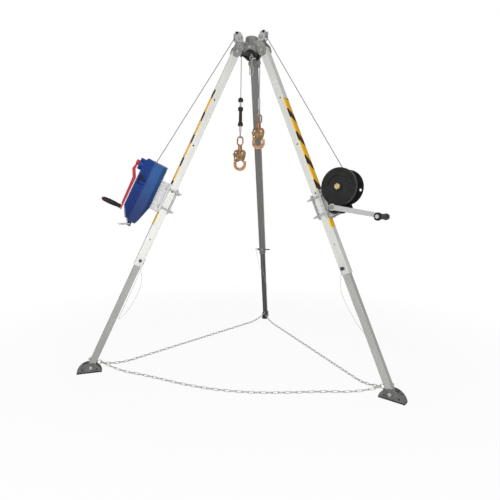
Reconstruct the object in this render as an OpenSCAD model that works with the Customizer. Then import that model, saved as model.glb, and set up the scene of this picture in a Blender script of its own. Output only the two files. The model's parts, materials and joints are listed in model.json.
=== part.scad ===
// Rescue tripod with folding telescopic legs, a hand winch, a retrieval block, snap hooks and floor chains.
// Millimetres, +Z up, floor at zero, rear leg towards +Y.

/* [Stand] */
// Angle of each leg from upright in degrees
leg_tilt = 24.5; // [23:0.5:26]
// Distance from the middle axis to each leg hinge
hinge_radius = 111; // [108:1:116]
// Height of the leg hinges above the floor
hinge_height = 1982; // [1900:10:2060]
// Outer width of the square upper legs
upper_width = 48; // [46:1:52]
// Length of the upper legs below the hinge
upper_length = 1476; // [1440:4:1500]
// Outer width of the square lower legs
lower_width = 38; // [34:1:40]
// Wall of the lower legs
lower_wall = 3.5; // [2.5:0.5:4]
// Length of lower leg held inside the upper leg
leg_overlap = 270; // [220:10:320]
// Distance between the height holes
hole_pitch = 320; // [300:5:325]
// Diameter of the height holes and of the pin holes
hole_diameter = 11; // [10.8:0.2:12]
// Diameter of the lock pins
pin_diameter = 10; // [8:0.5:10]
// Length of each lock pin beyond the far side of the leg
pin_beyond = 36; // [20:2:50]

/* [Head] */
// Radius of the middle hub
hub_radius = 41; // [36:1:44]
// Height of the hub above the hinges
hub_rise = 112; // [104:2:120]
// Thickness of the hinge ears
ear_thickness = 8; // [6:1:10]
// Diameter of the hinge bolts
hinge_bolt = 12; // [10:1:14]
// Radius of each sheave at the middle of the cable
sheave_pitch = 22; // [20:1:24]
// Height of the sheaves above the hinges
sheave_rise = 93; // [92:1:98]
// Width of the sheaves
sheave_width = 20; // [16:1:22]
// Thickness of the pulley bracket plates
bracket_plate = 4; // [3:0.5:5]

/* [Feet] */
// Length of the shoes
shoe_length = 140; // [132:2:150]
// Height of the arched shoe plates above the floor
shoe_height = 62; // [58:1:66]
// Thickness of the shoe plates
shoe_plate = 2.5; // [2:0.5:4]
// Thickness of the rubber soles
sole_thickness = 8; // [6:1:9]
// Height of the foot hinges above the floor
foot_hinge_height = 35; // [35:1:38]

/* [Chain] */
// Wire of the chain links
chain_wire = 4; // [3:0.5:4.5]
// Wanted pitch of the chain links
chain_pitch = 32; // [28:1:36]
// Outer width of the chain links
link_width = 15; // [14:0.5:17]
// How far the front chain bows out on the floor
chain_bow = 128; // [40:4:160]

/* [Cables and hooks] */
// Diameter of the two lifting cables
cable_diameter = 4.8; // [4:0.2:5.2]
// Height of the winch hook's lowest point
winch_hook_height = 1385; // [1200:5:1420]
// Height of the block hook's lowest point
block_hook_height = 1248; // [1100:4:1300]
// Thickness of the hooks
hook_thickness = 16; // [15:0.5:18]
// Diameter of the pin lanyards
lanyard_diameter = 2; // [1.6:0.2:2.4]

/* [Winch] */
// Teeth of the drum gear
gear_teeth = 74; // [70:1:75]
// Teeth of the crank pinion
pinion_teeth = 18; // [17:1:20]
// Gear module
gear_module = 2.5; // [2.4:0.05:2.5]
// Radius of the cable winding at the middle of the cable
winding_radius = 40; // [36:1:44]
// Loops in the outer layer of the winding
winding_loops = 11; // [8:1:11]
// Length of the winch crank between its axes
crank_reach = 305; // [250:5:320]

/* [Retrieval block] */
// Distance of the block's top below the leg hinge
block_top = 865; // [850:5:900]
// Length of the block along the leg
block_length = 385; // [370:5:390]
// Width of the block across the leg
block_width = 210; // [200:2:220]
// Length of the block's crank between its axes
block_crank_reach = 281; // [240:1:290]

/* [Hidden] */
cast_grey = [0.55, 0.56, 0.57];
tube_silver = [0.80, 0.81, 0.82];
zinc = [0.72, 0.73, 0.72];
steel_grey = [0.42, 0.43, 0.44];
rubber_black = [0.06, 0.06, 0.06];
paint_black = [0.09, 0.09, 0.10];
pin_blue = [0.12, 0.14, 0.24];
block_blue = [0.10, 0.20, 0.48];
crank_red = [0.70, 0.10, 0.12];
hook_gold = [0.72, 0.56, 0.28];
brass = [0.70, 0.55, 0.25];
cable_grey = [0.66, 0.67, 0.68];

// Clearances between pieces that move and between pieces that are seated
running = 0.05;
seat = 0.3;
slide_gap = 0.3;
far = 400;

leg_angles = [90, 210, 330];
rear = 90;
left = 210;
right = 330;
tilt_sin = sin(leg_tilt);
tilt_cos = cos(leg_tilt);
leg_length = (hinge_height - foot_hinge_height) / tilt_cos;
foot_radius = hinge_radius + leg_length * tilt_sin;
upper_bore = lower_width + 2 * slide_gap;
lower_top = upper_length - leg_overlap;
pin_down = upper_length - 34;
hole_down = pin_down - 143;
dome_radius = upper_width / 2 + 10;
foot_dome = lower_width / 2 + 3;

// Head sizes
ear_inside = upper_width / 2 + 0.5;
ear_outside = ear_inside + ear_thickness;
slot_back = hinge_radius - 49;
head_low = hinge_height + 14;
arm_top = hinge_height + 64;
skirt_radius = 74;
skirt_top = hinge_height + 40;
skirt_wall = 9.5;
web_arch = 46;
web_arch_z = hinge_height - 30;
arch_bolt_z = hinge_height + 27;
stop_radius = 8;
stop_away = dome_radius + stop_radius + seat;
stop_r = hinge_radius - stop_away * tilt_sin;
stop_z = hinge_height + stop_away * tilt_cos;
sheave_r = hinge_radius - 19;
sheave_z = hinge_height + sheave_rise;
sheave_rim = sheave_pitch + 4;
cheek_inside = sheave_width / 2 + 2;
cheek_outside = cheek_inside + bracket_plate;
keeper_r = sheave_r + (sheave_rim + 6) * cos(60);
keeper_z = sheave_z + (sheave_rim + 6) * sin(60);
drop_r = sheave_r - sheave_pitch;

// Foot sizes
shoe_shift = 8;
shoe_inside = lower_width / 2 + 0.5;
shoe_outside = shoe_inside + shoe_plate;
base_low = sole_thickness - foot_hinge_height;
arch_rise = shoe_height - sole_thickness;
arch_radius = (pow(shoe_length / 2, 2) + pow(arch_rise, 2)) / (2 * arch_rise);
arch_z = shoe_height - foot_hinge_height - arch_radius;

// Chain ring on each lower leg
ring_radius = 12;
ring_wire = 4;
eye_up = 40;
eye_down = leg_length - eye_up;
ring_out = -(lower_width / 2 + 17);
ring_r = hinge_radius + eye_down * tilt_sin + ring_out * tilt_cos;
ring_z = hinge_height - eye_down * tilt_cos + ring_out * tilt_sin;

// Winch axes in the upright plane of the right leg, and the end of its crank
drum_at = [159, -1019];
mesh_distance = gear_module * (gear_teeth + pinion_teeth) / 2;
mesh_turn = atan2(-97, -64);
pinion_at = drum_at + mesh_distance * [cos(mesh_turn), sin(mesh_turn)];
crank_turn = -33.5;
crank_end = pinion_at + crank_reach * [cos(crank_turn), sin(crank_turn)];
crank_end_r = hinge_radius + crank_end[0] * tilt_cos - crank_end[1] * tilt_sin;
spindle_tip = 216;

// Place of the middle axis, so that the stand's outline is centred front to back
rear_reach = foot_radius + shoe_shift + shoe_length / 2;
chain_reach = ring_r / 2 + chain_bow + link_width / 2;
grip_reach = (crank_end_r + 9) / 2 + spindle_tip * cos(30);
front_reach = max(chain_reach, grip_reach);
axis_y = (front_reach - rear_reach) / 2;

// Places on a leg: outward, across and down from the hinge
module on_leg(angle) {
    translate([0, axis_y, 0])
        rotate([0, 0, angle])
            translate([hinge_radius, 0, hinge_height])
                rotate([0, -leg_tilt, 0])
                    children();
}

// Places on an arm of the head: radius, across and height
module on_arm(angle) {
    translate([0, axis_y, 0])
        rotate([0, 0, angle])
            children();
}

// Places on a foot: outward, across and up from the foot hinge
module on_foot(angle) {
    on_arm(angle)
        translate([foot_radius, 0, foot_hinge_height])
            children();
}

// A side outline made solid across the leg, from t0 to t1
module across(t0, t1) {
    translate([0, t1, 0])
        rotate([90, 0, 0])
            linear_extrude(height = t1 - t0)
                children();
}

// A face outline made solid outward from the leg, from n0 to n1
module outward(n0, n1) {
    translate([n0, 0, 0])
        rotate([90, 0, 90])
            linear_extrude(height = n1 - n0)
                children();
}

// A cross outline made solid along the leg, from s0 down to s1
module along(s0, s1) {
    translate([0, 0, -s1])
        linear_extrude(height = s1 - s0)
            children();
}

// A round bar across the leg, from t0 to t1
module cross_bar(radius, t0, t1) {
    translate([0, t0, 0])
        rotate([-90, 0, 0])
            cylinder(r = radius, h = t1 - t0, $fn = 48);
}

// A round bar outward from the leg, from n0 to n1
module out_bar(radius, n0, n1) {
    translate([n0, 0, 0])
        rotate([0, 90, 0])
            cylinder(r = radius, h = n1 - n0, $fn = 48);
}

// A hexagon nut or bolt head across the leg
module cross_nut(radius, t0, t1) {
    translate([0, t0, 0])
        rotate([-90, 0, 0])
            cylinder(r = radius, h = t1 - t0, $fn = 6);
}

// A hexagon nut outward from the leg
module out_nut(radius, n0, n1) {
    translate([n0, 0, 0])
        rotate([0, 90, 0])
            cylinder(r = radius, h = n1 - n0, $fn = 6);
}

// A square with small corner bevels
module bevelled_square(width, bevel) {
    h = width / 2;
    i = h - bevel;
    polygon([[h, -i], [h, i], [i, h], [-i, h], [-h, i], [-h, -i], [-i, -h], [i, -h]]);
}

// Tubes swept along routes of points
function unit(v) = v / norm(v);
function heading(route, i) =
    i == 0 ? unit(route[1] - route[0])
    : i == len(route) - 1 ? unit(route[i] - route[i - 1])
    : unit(unit(route[i + 1] - route[i]) + unit(route[i] - route[i - 1]));
function first_side(d) = unit(cross(d, abs(d[2]) > 0.9 ? [1, 0, 0] : [0, 0, 1]));
function next_side(side, d) = unit(side - d * (side * d));
function sides_of(route, i = 0, done = []) =
    i == len(route) ? done
    : sides_of(route, i + 1, concat(done, [
        i == 0 ? first_side(heading(route, 0)) : next_side(done[i - 1], heading(route, i))
    ]));

module swept_tube(route, diameter, sides) {
    last = len(route) - 1;
    side = sides_of(route);
    points = [
        for (i = [0 : last])
            let (d = heading(route, i), a = side[i], b = cross(d, a))
                for (j = [0 : sides - 1])
                    route[i] + diameter / 2 * (a * cos(360 * j / sides) + b * sin(360 * j / sides))
    ];
    wall = [
        for (i = [0 : last - 1])
            for (j = [0 : sides - 1])
                let (k = (j + 1) % sides, p = i * sides, q = p + sides)
                    for (f = [[p + j, q + j, q + k], [p + j, q + k, p + k]])
                        f
    ];
    start = [for (j = [0 : sides - 1]) j];
    finish = [for (j = [sides - 1 : -1 : 0]) last * sides + j];
    polyhedron(points = points, faces = concat(wall, [start], [finish]));
}

// Turns a point on a leg into a point in the stand's frame
function from_leg(angle, n, t, s) =
    let (r = hinge_radius + n * tilt_cos + s * tilt_sin, z = hinge_height + n * tilt_sin - s * tilt_cos)
        [r * cos(angle) - t * sin(angle), axis_y + r * sin(angle) + t * cos(angle), z];

function from_arm(angle, r, t, z) =
    [r * cos(angle) - t * sin(angle), axis_y + r * sin(angle) + t * cos(angle), z];

// Head
ear_outline = [
    [0, head_low],
    [0, arm_top],
    [hinge_radius - 7, arm_top],
    [hinge_radius + 16, hinge_height + 40],
    [hinge_radius + 27, hinge_height + 8],
    [hinge_radius + 22, hinge_height - 22],
    [hinge_radius, hinge_height - 30],
    [hinge_radius - 24, hinge_height - 18],
    [hinge_radius - 40, head_low]
];

// Skirt round the hub, open in an arch between each pair of arms
module head_skirt() {
    difference() {
        translate([0, axis_y, hinge_height])
            cylinder(r = skirt_radius, h = skirt_top - hinge_height, $fn = 96);
        translate([0, axis_y, hinge_height - 1])
            cylinder(r = skirt_radius - skirt_wall, h = skirt_top - hinge_height - 7, $fn = 96);
        for (angle = leg_angles)
            on_arm(angle + 60)
                translate([0, 0, web_arch_z])
                    out_bar(web_arch, hub_radius + 6, skirt_radius + 40);
    }
}

module head_casting() {
    color(cast_grey)
        difference() {
            union() {
                translate([0, axis_y, head_low])
                    cylinder(r = hub_radius, h = hub_rise - 14, $fn = 72);
                translate([0, axis_y, hinge_height + hub_rise - 0.5])
                    cylinder(r1 = hub_radius - 5, r2 = hub_radius - 12, h = 7, $fn = 72);
                head_skirt();
                for (angle = leg_angles)
                    on_arm(angle)
                        across(-ear_outside, ear_outside)
                            polygon(ear_outline);
                for (angle = leg_angles)
                    for (turn = [38, 60, 82])
                        on_arm(angle + turn)
                            translate([hub_radius - 4, -3, skirt_top - 2])
                                cube([10, 6, hinge_height + hub_rise - 10 - skirt_top]);
            }
            for (angle = leg_angles)
                on_arm(angle) {
                    translate([slot_back, -ear_inside, hinge_height - 60])
                        cube([120, 2 * ear_inside, 300]);
                    translate([hinge_radius, 0, hinge_height])
                        cross_bar(hinge_bolt / 2 + 0.2, -far / 2, far / 2);
                    translate([stop_r, 0, stop_z])
                        cross_bar(stop_radius + 0.2, -far / 2, far / 2);
                }
            for (angle = leg_angles)
                on_arm(angle + 60)
                    translate([0, 0, arch_bolt_z])
                        out_bar(4.3, hub_radius + 6, skirt_radius + 40);
        }
}

// Rings hanging under the head and the bolts in its arches
module oval_ring(half_width, half_height, wire) {
    straight = half_height - half_width;
    for (side = [-1, 1]) {
        translate([side * half_width, 0, -straight])
            cylinder(d = wire, h = 2 * straight, $fn = 32);
        translate([0, 0, side * straight])
            rotate([90, side * 90 - 90, 0])
                rotate_extrude(angle = 180, $fn = 48)
                    translate([half_width, 0])
                        circle(d = wire, $fn = 32);
    }
}

module head_rings_and_arch_bolts() {
    color(zinc)
        translate([0, axis_y, 0]) {
            translate([0, 0, head_low - 14])
                cylinder(r = 8, h = 14 - seat, $fn = 40);
            translate([0, 0, head_low - 22])
                rotate([90, 0, 0])
                    rotate_extrude($fn = 48)
                        translate([11, 0])
                            circle(d = 8, $fn = 32);
            translate([0, 0, head_low - 53.2])
                rotate([0, 0, 90])
                    oval_ring(13, 28, 7);
            translate([0, 0, head_low - 102.4])
                oval_ring(11, 28, 6);
        }
    color(zinc)
        for (angle = leg_angles)
            on_arm(angle + 60)
                translate([0, 0, arch_bolt_z]) {
                    out_bar(4, skirt_radius - 14, skirt_radius + 2);
                    out_nut(8, skirt_radius + seat, skirt_radius + 7);
                }
}

// Pulleys over the left and right legs
cheek_outline = [
    [hinge_radius - 52, arm_top + seat],
    [hinge_radius - 9, arm_top + seat],
    [hinge_radius + 9, sheave_z - 6],
    [hinge_radius + 9, keeper_z + 6],
    [hinge_radius - 4, keeper_z + 10],
    [hinge_radius - 28, keeper_z + 10],
    [hinge_radius - 46, sheave_z + 14]
];

module pulley_brackets() {
    color(zinc)
        for (angle = [left, right])
            on_arm(angle)
                difference() {
                    union() {
                        translate([hinge_radius - 65, -ear_outside, arm_top + seat])
                            cube([57, 2 * ear_outside, bracket_plate]);
                        across(-cheek_outside, -cheek_inside)
                            polygon(cheek_outline);
                        across(cheek_inside, cheek_outside)
                            polygon(cheek_outline);
                    }
                    translate([hinge_radius - 55, -cheek_inside, arm_top - 10])
                        cube([90, 2 * cheek_inside, 300]);
                    translate([sheave_r, 0, sheave_z])
                        cross_bar(5.2, -60, 60);
                    translate([keeper_r, 0, keeper_z])
                        cross_bar(4.2, -60, 60);
                    translate([hinge_radius - 38, -60, sheave_z - 4])
                        cube([5, 120, 16]);
                    for (side = [-1, 1])
                        translate([hinge_radius - 30, side * (ear_outside - 7), arm_top - 4])
                            cylinder(r = 3.3, h = 20, $fn = 24);
                }
}

module sheave(angle) {
    h = sheave_width / 2;
    low = sheave_pitch - cable_diameter / 2 - seat;
    g = cable_diameter / 2 + 0.8;
    color(zinc)
        on_arm(angle)
            translate([sheave_r, 0, sheave_z])
                rotate([90, 0, 0])
                    rotate_extrude($fn = 96)
                        polygon([
                            [5 + running, -h - 1.5], [9, -h - 1.5], [10, -h], [sheave_rim - 1, -h],
                            [sheave_rim, 1 - h], [sheave_rim, -h + 2.5], [low + 1.2, -g], [low, -g + 1],
                            [low, g - 1], [low + 1.2, g], [sheave_rim, h - 2.5], [sheave_rim, h - 1],
                            [sheave_rim - 1, h], [10, h], [9, h + 1.5], [5 + running, h + 1.5]
                        ]);
}

module left_sheave() {
    sheave(left);
}

module right_sheave() {
    sheave(right);
}

// Fittings of the head: rings, leg hinge bolts, leg stops, pulley axles, keeper pins and bracket screws
module head_fittings() {
    nut = hinge_bolt * 0.9;
    screw_z = arm_top + bracket_plate + 2 * seat;
    head_rings_and_arch_bolts();
    color(zinc)
        for (angle = leg_angles)
            on_arm(angle) {
                translate([hinge_radius, 0, hinge_height]) {
                    cross_bar(hinge_bolt / 2, -ear_outside - 12, ear_outside + 4);
                    cross_nut(nut, ear_outside + seat, ear_outside + 8);
                    cross_nut(nut, -ear_outside - 9, -ear_outside - seat);
                }
                translate([stop_r, 0, stop_z])
                    difference() {
                        union() {
                            cross_bar(stop_radius, -ear_outside - 4, ear_outside + 4);
                            cross_bar(stop_radius + 4, ear_outside + seat, ear_outside + 4);
                            cross_bar(stop_radius + 4, -ear_outside - 4, -ear_outside - seat);
                        }
                        cross_bar(stop_radius - 3, -far / 2, far / 2);
                    }
            }
    color(zinc)
        for (angle = [left, right])
            on_arm(angle) {
                translate([sheave_r, 0, sheave_z]) {
                    cross_bar(5, -cheek_outside - 9, cheek_outside + 3);
                    cross_nut(9, cheek_outside + seat, cheek_outside + 6);
                    cross_nut(9, -cheek_outside - 7, -cheek_outside - seat);
                }
                translate([keeper_r, 0, keeper_z])
                    cross_bar(4, -cheek_outside, cheek_outside);
                for (side = [-1, 1])
                    translate([hinge_radius - 30, side * (ear_outside - 7), screw_z])
                        cylinder(r = 6, h = 5, $fn = 6);
            }
}

module keeper_caps() {
    color(rubber_black)
        for (angle = [left, right])
            on_arm(angle)
                translate([keeper_r, 0, keeper_z]) {
                    cross_bar(7, cheek_outside + seat, cheek_outside + 8);
                    cross_bar(7, -cheek_outside - 8, -cheek_outside - seat);
                }
}

// Legs
module upper_leg(angle) {
    color(tube_silver)
        on_leg(angle)
            difference() {
                intersection() {
                    along(-dome_radius, upper_length)
                        bevelled_square(upper_width, 2);
                    union() {
                        cross_bar(dome_radius, -upper_width, upper_width);
                        translate([-upper_width, -upper_width, -upper_length - 10])
                            cube([2 * upper_width, 2 * upper_width, upper_length + 10]);
                    }
                }
                along(-dome_radius - 10, upper_length + 10)
                    bevelled_square(upper_bore, 1.6);
                cross_bar(hinge_bolt / 2 + running, -far / 2, far / 2);
                for (i = [0 : 3])
                    translate([0, 0, i * hole_pitch - hole_down])
                        cross_bar(hole_diameter / 2, -far / 2, far / 2);
                translate([0, 0, -pin_down])
                    cross_bar(hole_diameter / 2, -far / 2, far / 2);
            }
}

module lower_leg(angle) {
    color(tube_silver * 0.92)
        on_leg(angle)
            difference() {
                intersection() {
                    along(lower_top, leg_length + foot_dome)
                        bevelled_square(lower_width, 2);
                    union() {
                        translate([0, 0, -leg_length])
                            cross_bar(foot_dome, -lower_width, lower_width);
                        translate([-lower_width, -lower_width, -leg_length])
                            cube([2 * lower_width, 2 * lower_width, leg_length]);
                    }
                }
                along(lower_top - 10, leg_length + 60)
                    bevelled_square(lower_width - 2 * lower_wall, 1);
                translate([0, 0, -pin_down])
                    cross_bar(hole_diameter / 2, -far / 2, far / 2);
                translate([0, 0, -leg_length])
                    cross_bar(6 + running, -far / 2, far / 2);
                translate([0, 0, -eye_down])
                    out_bar(5.2, -far / 2, far / 2);
            }
}

// Foot hinge bolt, chain eyebolt and its nuts on the end of each lower leg
module leg_fittings(angle) {
    color(zinc)
        on_leg(angle) {
            translate([0, 0, -leg_length]) {
                cross_bar(6, -shoe_outside - 9, shoe_outside + 3);
                cross_nut(10.5, shoe_outside + seat, shoe_outside + 7);
                cross_nut(10.5, -shoe_outside - 7, -shoe_outside - seat);
            }
            translate([0, 0, -eye_down]) {
                out_bar(5, ring_out + ring_radius - 1, lower_width / 2 + 12);
                out_nut(9, lower_width / 2 + seat, lower_width / 2 + 8);
                translate([ring_out, 0, 0])
                    rotate([90, 0, 0])
                        rotate_extrude($fn = 48)
                            translate([ring_radius, 0])
                                circle(d = ring_wire, $fn = 32);
            }
        }
}

// Feet
module shoe_outline() {
    intersection() {
        translate([shoe_shift, arch_z])
            circle(r = arch_radius, $fn = 96);
        translate([shoe_shift - shoe_length, base_low])
            square([2 * shoe_length, 2 * shoe_length]);
    }
}

module foot_shoe(angle) {
    color(steel_grey)
        on_foot(angle)
            difference() {
                union() {
                    across(shoe_inside, shoe_outside)
                        shoe_outline();
                    across(-shoe_outside, -shoe_inside)
                        shoe_outline();
                    translate([shoe_shift - shoe_length / 2 + 3, -shoe_inside - 0.5, base_low])
                        cube([shoe_length - 6, 2 * shoe_inside + 1, 3]);
                    across(-shoe_inside - 0.5, shoe_inside + 0.5)
                        intersection() {
                            translate([shoe_shift, arch_z])
                                difference() {
                                    circle(r = arch_radius - 0.5, $fn = 96);
                                    circle(r = arch_radius - 3.5, $fn = 96);
                                }
                            translate([shoe_shift, arch_z])
                                polygon([[0, 0], [200, 40], [200, 300], [106, 200]]);
                            shoe_outline();
                        }
                }
                cross_bar(6.3, -far / 2, far / 2);
                for (side = [-1, 1])
                    translate([shoe_shift + side * 40, 0, base_low + 13])
                        cross_bar(5, -far / 2, far / 2);
                for (turn = [30, 48])
                    translate([shoe_shift, 0, arch_z])
                        rotate([0, -turn, 0])
                            out_bar(4.5, arch_radius - 10, arch_radius + 10);
            }
}

module foot_sole(angle) {
    color(rubber_black)
        on_foot(angle)
            difference() {
                translate([shoe_shift - shoe_length / 2, -shoe_outside, -foot_hinge_height])
                    cube([shoe_length, 2 * shoe_outside, sole_thickness - seat]);
                for (i = [-3 : 3])
                    translate([shoe_shift + i * 18 - 1.5, -60, -foot_hinge_height - 1])
                        cube([3, 120, 3]);
            }
}

// Lock pins: knob, pull ring and shank in the walls of the upper leg
module lock_pin(angle, side) {
    wall_out = upper_width / 2;
    wall_in = lower_width / 2 + seat;
    color(pin_blue)
        on_leg(angle)
            translate([0, 0, -pin_down])
                rotate([0, 0, side > 0 ? 0 : 180]) {
                    cross_bar(pin_diameter / 2, wall_in, wall_out + 18);
                    cross_bar(9, wall_out + seat, wall_out + 12);
                    cross_bar(7, wall_out + 11, wall_out + 18);
                    translate([0, wall_out + 25, 0])
                        rotate([90, 0, 90])
                            rotate_extrude($fn = 40)
                                translate([9, 0])
                                    circle(d = 3.4, $fn = 24);
                    cross_bar(pin_diameter / 2, -wall_out - pin_beyond, -wall_in);
                    translate([0, -wall_out - pin_beyond, 0])
                        rotate([90, 0, 0])
                            cylinder(r1 = pin_diameter / 2, r2 = pin_diameter / 2 - 2, h = 3, $fn = 40);
                }
}

// Lanyard from the pull ring round below to a screw on the back of the upper leg
lanyard_route = [
    [0, 50, 0],
    [-16, 50, 26],
    [-40, 40, 60],
    [-62, 24, 110],
    [-72, 0, 170],
    [-74, -20, 230],
    [-66, -30, 300],
    [-50, -34, 350],
    [-38, -30, 372],
    [-33, -20, 350],
    [-32, -8, 250],
    [-31, 0, 110],
    [-29, 0, 20],
    [-29, 0, -24]
];

module lanyard(angle, side) {
    top = pin_down + 9 + 1.7 + lanyard_diameter / 2 + seat;
    route = [
        for (p = lanyard_route)
            from_leg(angle, p[0] - (p[0] < -28 ? (upper_width - 48) / 2 : 0), side * (p[1] - 1), top + p[2])
    ];
    color(cable_grey)
        swept_tube(route, lanyard_diameter, 8);
    color(zinc)
        on_leg(angle)
            translate([0, 0, 26 - top])
                out_bar(5, -upper_width / 2 - 6.5, -upper_width / 2 - seat);
}

// Floor chains between the leg rings
chain_samples = 72;
link_slack = 0.6;
ring_play = 1.1;
link_rings = [0, 62, 118, 180, 242, 298];
link_sides = 5;
link_bend = (link_width - chain_wire) / 2;
floor_z = link_width / 2 + 2;

function ring_point(angle, side) =
    let (turn = 194 - 16 * side)
        from_arm(angle, ring_r + ring_radius * cos(turn), 0, ring_z + ring_radius * sin(turn));

function chain_point(a, b, bow, u) =
    let (
        p = a + (b - a) * u,
        span = norm([b[0] - a[0], b[1] - a[1]]),
        low_a = max(0, 1 - u * span / 220),
        low_b = max(0, 1 - (1 - u) * span / 220),
        out = unit([p[0], p[1] - axis_y, 0]) * bow * 0.5 * (1 - cos(360 * u))
    )
        [p[0] + out[0], p[1] + out[1],
         floor_z + (a[2] - floor_z) * low_a * low_a + (b[2] - floor_z) * low_b * low_b];

function running_sum(list, i = 0, total = 0) =
    i == len(list) ? []
    : concat([total + list[i]], running_sum(list, i + 1, total + list[i]));

// Points of one link, lying flat or standing on edge, in its own frame
function link_points(straight, upright) = [
    for (turn = link_rings)
        for (j = [0 : link_sides - 1])
            let (
                b = 360 * (j + 0.5) / link_sides,
                r = link_bend + chain_wire / 2 * cos(b),
                h = chain_wire / 2 * sin(b),
                x = r * cos(turn) + (cos(turn) > 0 ? straight / 2 : -straight / 2),
                y = r * sin(turn)
            )
                upright ? [x, -h, y] : [x, y, h]
];

link_faces = [
    for (i = [0 : 5])
        for (j = [0 : link_sides - 1])
            let (k = (j + 1) % link_sides, p = i * link_sides, q = ((i + 1) % 6) * link_sides)
                for (f = [[p + j, q + k, p + k], [p + j, q + j, q + k]])
                    f
];

module chain(from, to, bow) {
    pa = ring_point(from, 1);
    pb = ring_point(to, -1);
    aim = unit([pb[0] - pa[0], pb[1] - pa[1], 0]);
    reach = ring_wire / 2 + ring_play;
    a = pa - aim * reach;
    b = pb + aim * reach;
    path = [for (i = [0 : chain_samples]) chain_point(a, b, bow, i / chain_samples)];
    steps = [for (i = [1 : chain_samples]) norm(path[i] - path[i - 1])];
    sums = concat([0], running_sum(steps));
    length = sums[chain_samples];
    count = 2 * floor((length / chain_pitch - 1) / 2) + 1;
    pitch = length / count;
    straight = pitch + link_slack + 2 * chain_wire - link_width;
    table = [for (i = [0 : chain_samples]) [sums[i], i / chain_samples]];
    stops = [for (i = [0 : count]) chain_point(a, b, bow, lookup(i * pitch, table))];
    size = 6 * link_sides;
    points = [
        for (i = [0 : count - 1])
            let (
                d = unit(stops[i + 1] - stops[i]),
                side = unit(cross([0, 0, 1], d)),
                up = cross(d, side),
                middle = (stops[i] + stops[i + 1]) / 2
            )
                for (p = link_points(straight, i % 2 == 1))
                    middle + d * p[0] + side * p[1] + up * p[2]
    ];
    faces = [
        for (i = [0 : count - 1])
            for (f = link_faces)
                [f[0] + i * size, f[1] + i * size, f[2] + i * size]
    ];
    color(zinc)
        polyhedron(points = points, faces = faces);
}

module front_chain() {
    chain(left, right, chain_bow);
}

module right_chain() {
    chain(right, rear, 0);
}

module left_chain() {
    chain(rear, left, 0);
}

// Clamp of a device on a leg: flanged channel, back plate, four rods and their nuts
module leg_clamp(top, length, out) {
    face = upper_width / 2 + seat;
    half = upper_width / 2 + 21;
    rod = upper_width / 2 + 12;
    rods = [top + 32, top + length - 32];
    color(zinc)
        union() {
            difference() {
                along(top, top + length)
                    difference() {
                        polygon([
                            [face, -half], [face + 10, -half], [face + 10, -27], [out, -27],
                            [out, 27], [face + 10, 27], [face + 10, half], [face, half]
                        ]);
                        translate([face + 10, -21])
                            square([out - face - 17, 42]);
                        for (rib = [0 : 2])
                            for (side = [-1, 1])
                                translate([face + 16 + 12 * rib, side * 27 - 1.5])
                                    square([5, 3]);
                    }
                for (s = rods)
                    for (side = [-1, 1])
                        translate([0, side * rod, -s])
                            out_bar(5.2, -far / 2, far / 2);
            }
            difference() {
                along(top + 12, top + length - 12)
                    polygon([
                        [-face, -half], [-face, half], [-face - 4, half], [-face - 10, half - 12],
                        [-face - 10, 12 - half], [-face - 4, -half]
                    ]);
                for (s = rods)
                    for (side = [-1, 1])
                        translate([0, side * rod, -s])
                            out_bar(5.2, -far / 2, far / 2);
            }
            for (s = rods)
                for (side = [-1, 1])
                    translate([0, side * rod, -s]) {
                        out_bar(5, -face - 34, face + 21);
                        out_nut(8, face + 10 + seat, face + 18);
                        out_nut(8, -face - 18, -face - 10 - seat);
                    }
        }
}

// Winch on the right leg
clamp_out = 86;
winch_top = 974;
winch_clamp_length = 172;
winch_base = winch_top + winch_clamp_length;
gear_t0 = -54;
gear_t1 = -44;
near_t0 = -40;
near_t1 = -36;
far_t0 = 44;
far_t1 = 48;
drum_t0 = -31;
drum_t1 = 37;
flange_radius = 66;
cover_radius = gear_module * (gear_teeth + 2) / 2 + 8;

function involute(base, roll) =
    let (arc = roll * PI / 180)
        base * [cos(roll) + arc * sin(roll), sin(roll) - arc * cos(roll)];
function spun(p, turn) = [p[0] * cos(turn) - p[1] * sin(turn), p[0] * sin(turn) + p[1] * cos(turn)];
function polar_of(p) = atan2(p[1], p[0]);

// Gear outline with involute flanks, a tooth centred on angle zero
module gear_outline(teeth, play) {
    pitch_radius = gear_module * teeth / 2;
    base = pitch_radius * cos(20);
    tip = pitch_radius + gear_module;
    root = pitch_radius - 1.25 * gear_module;
    tip_roll = sqrt(pow(tip / base, 2) - 1) * 180 / PI;
    pitch_roll = tan(20) * 180 / PI;
    half_tooth = 90 / teeth - play / pitch_radius * 90 / PI;
    lead = polar_of(involute(base, pitch_roll)) + half_tooth;
    flank = [for (i = [0 : 4]) spun(involute(base, tip_roll * i / 4), -lead)];
    tooth = concat(
        [spun([root, 0], -lead - 0.2)],
        flank,
        [for (i = [4 : -1 : 0]) [flank[i][0], -flank[i][1]]],
        [spun([root, 0], lead + 0.2)]
    );
    polygon([for (k = [0 : teeth - 1]) for (p = tooth) spun(p, 360 * k / teeth)]);
}

module at_drum() {
    translate([drum_at[0], 0, drum_at[1]])
        children();
}

module at_pinion() {
    translate([pinion_at[0], 0, pinion_at[1]])
        children();
}

module winch_clamp() {
    on_leg(right)
        leg_clamp(winch_top, winch_clamp_length, clamp_out);
}

module plate_outline(radius) {
    translate(drum_at)
        circle(r = radius, $fn = 96);
    polygon([
        [clamp_out + seat, 14 - winch_top], [150, 24 - winch_top],
        [150, -winch_base], [clamp_out + seat, -winch_base]
    ]);
}

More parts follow.
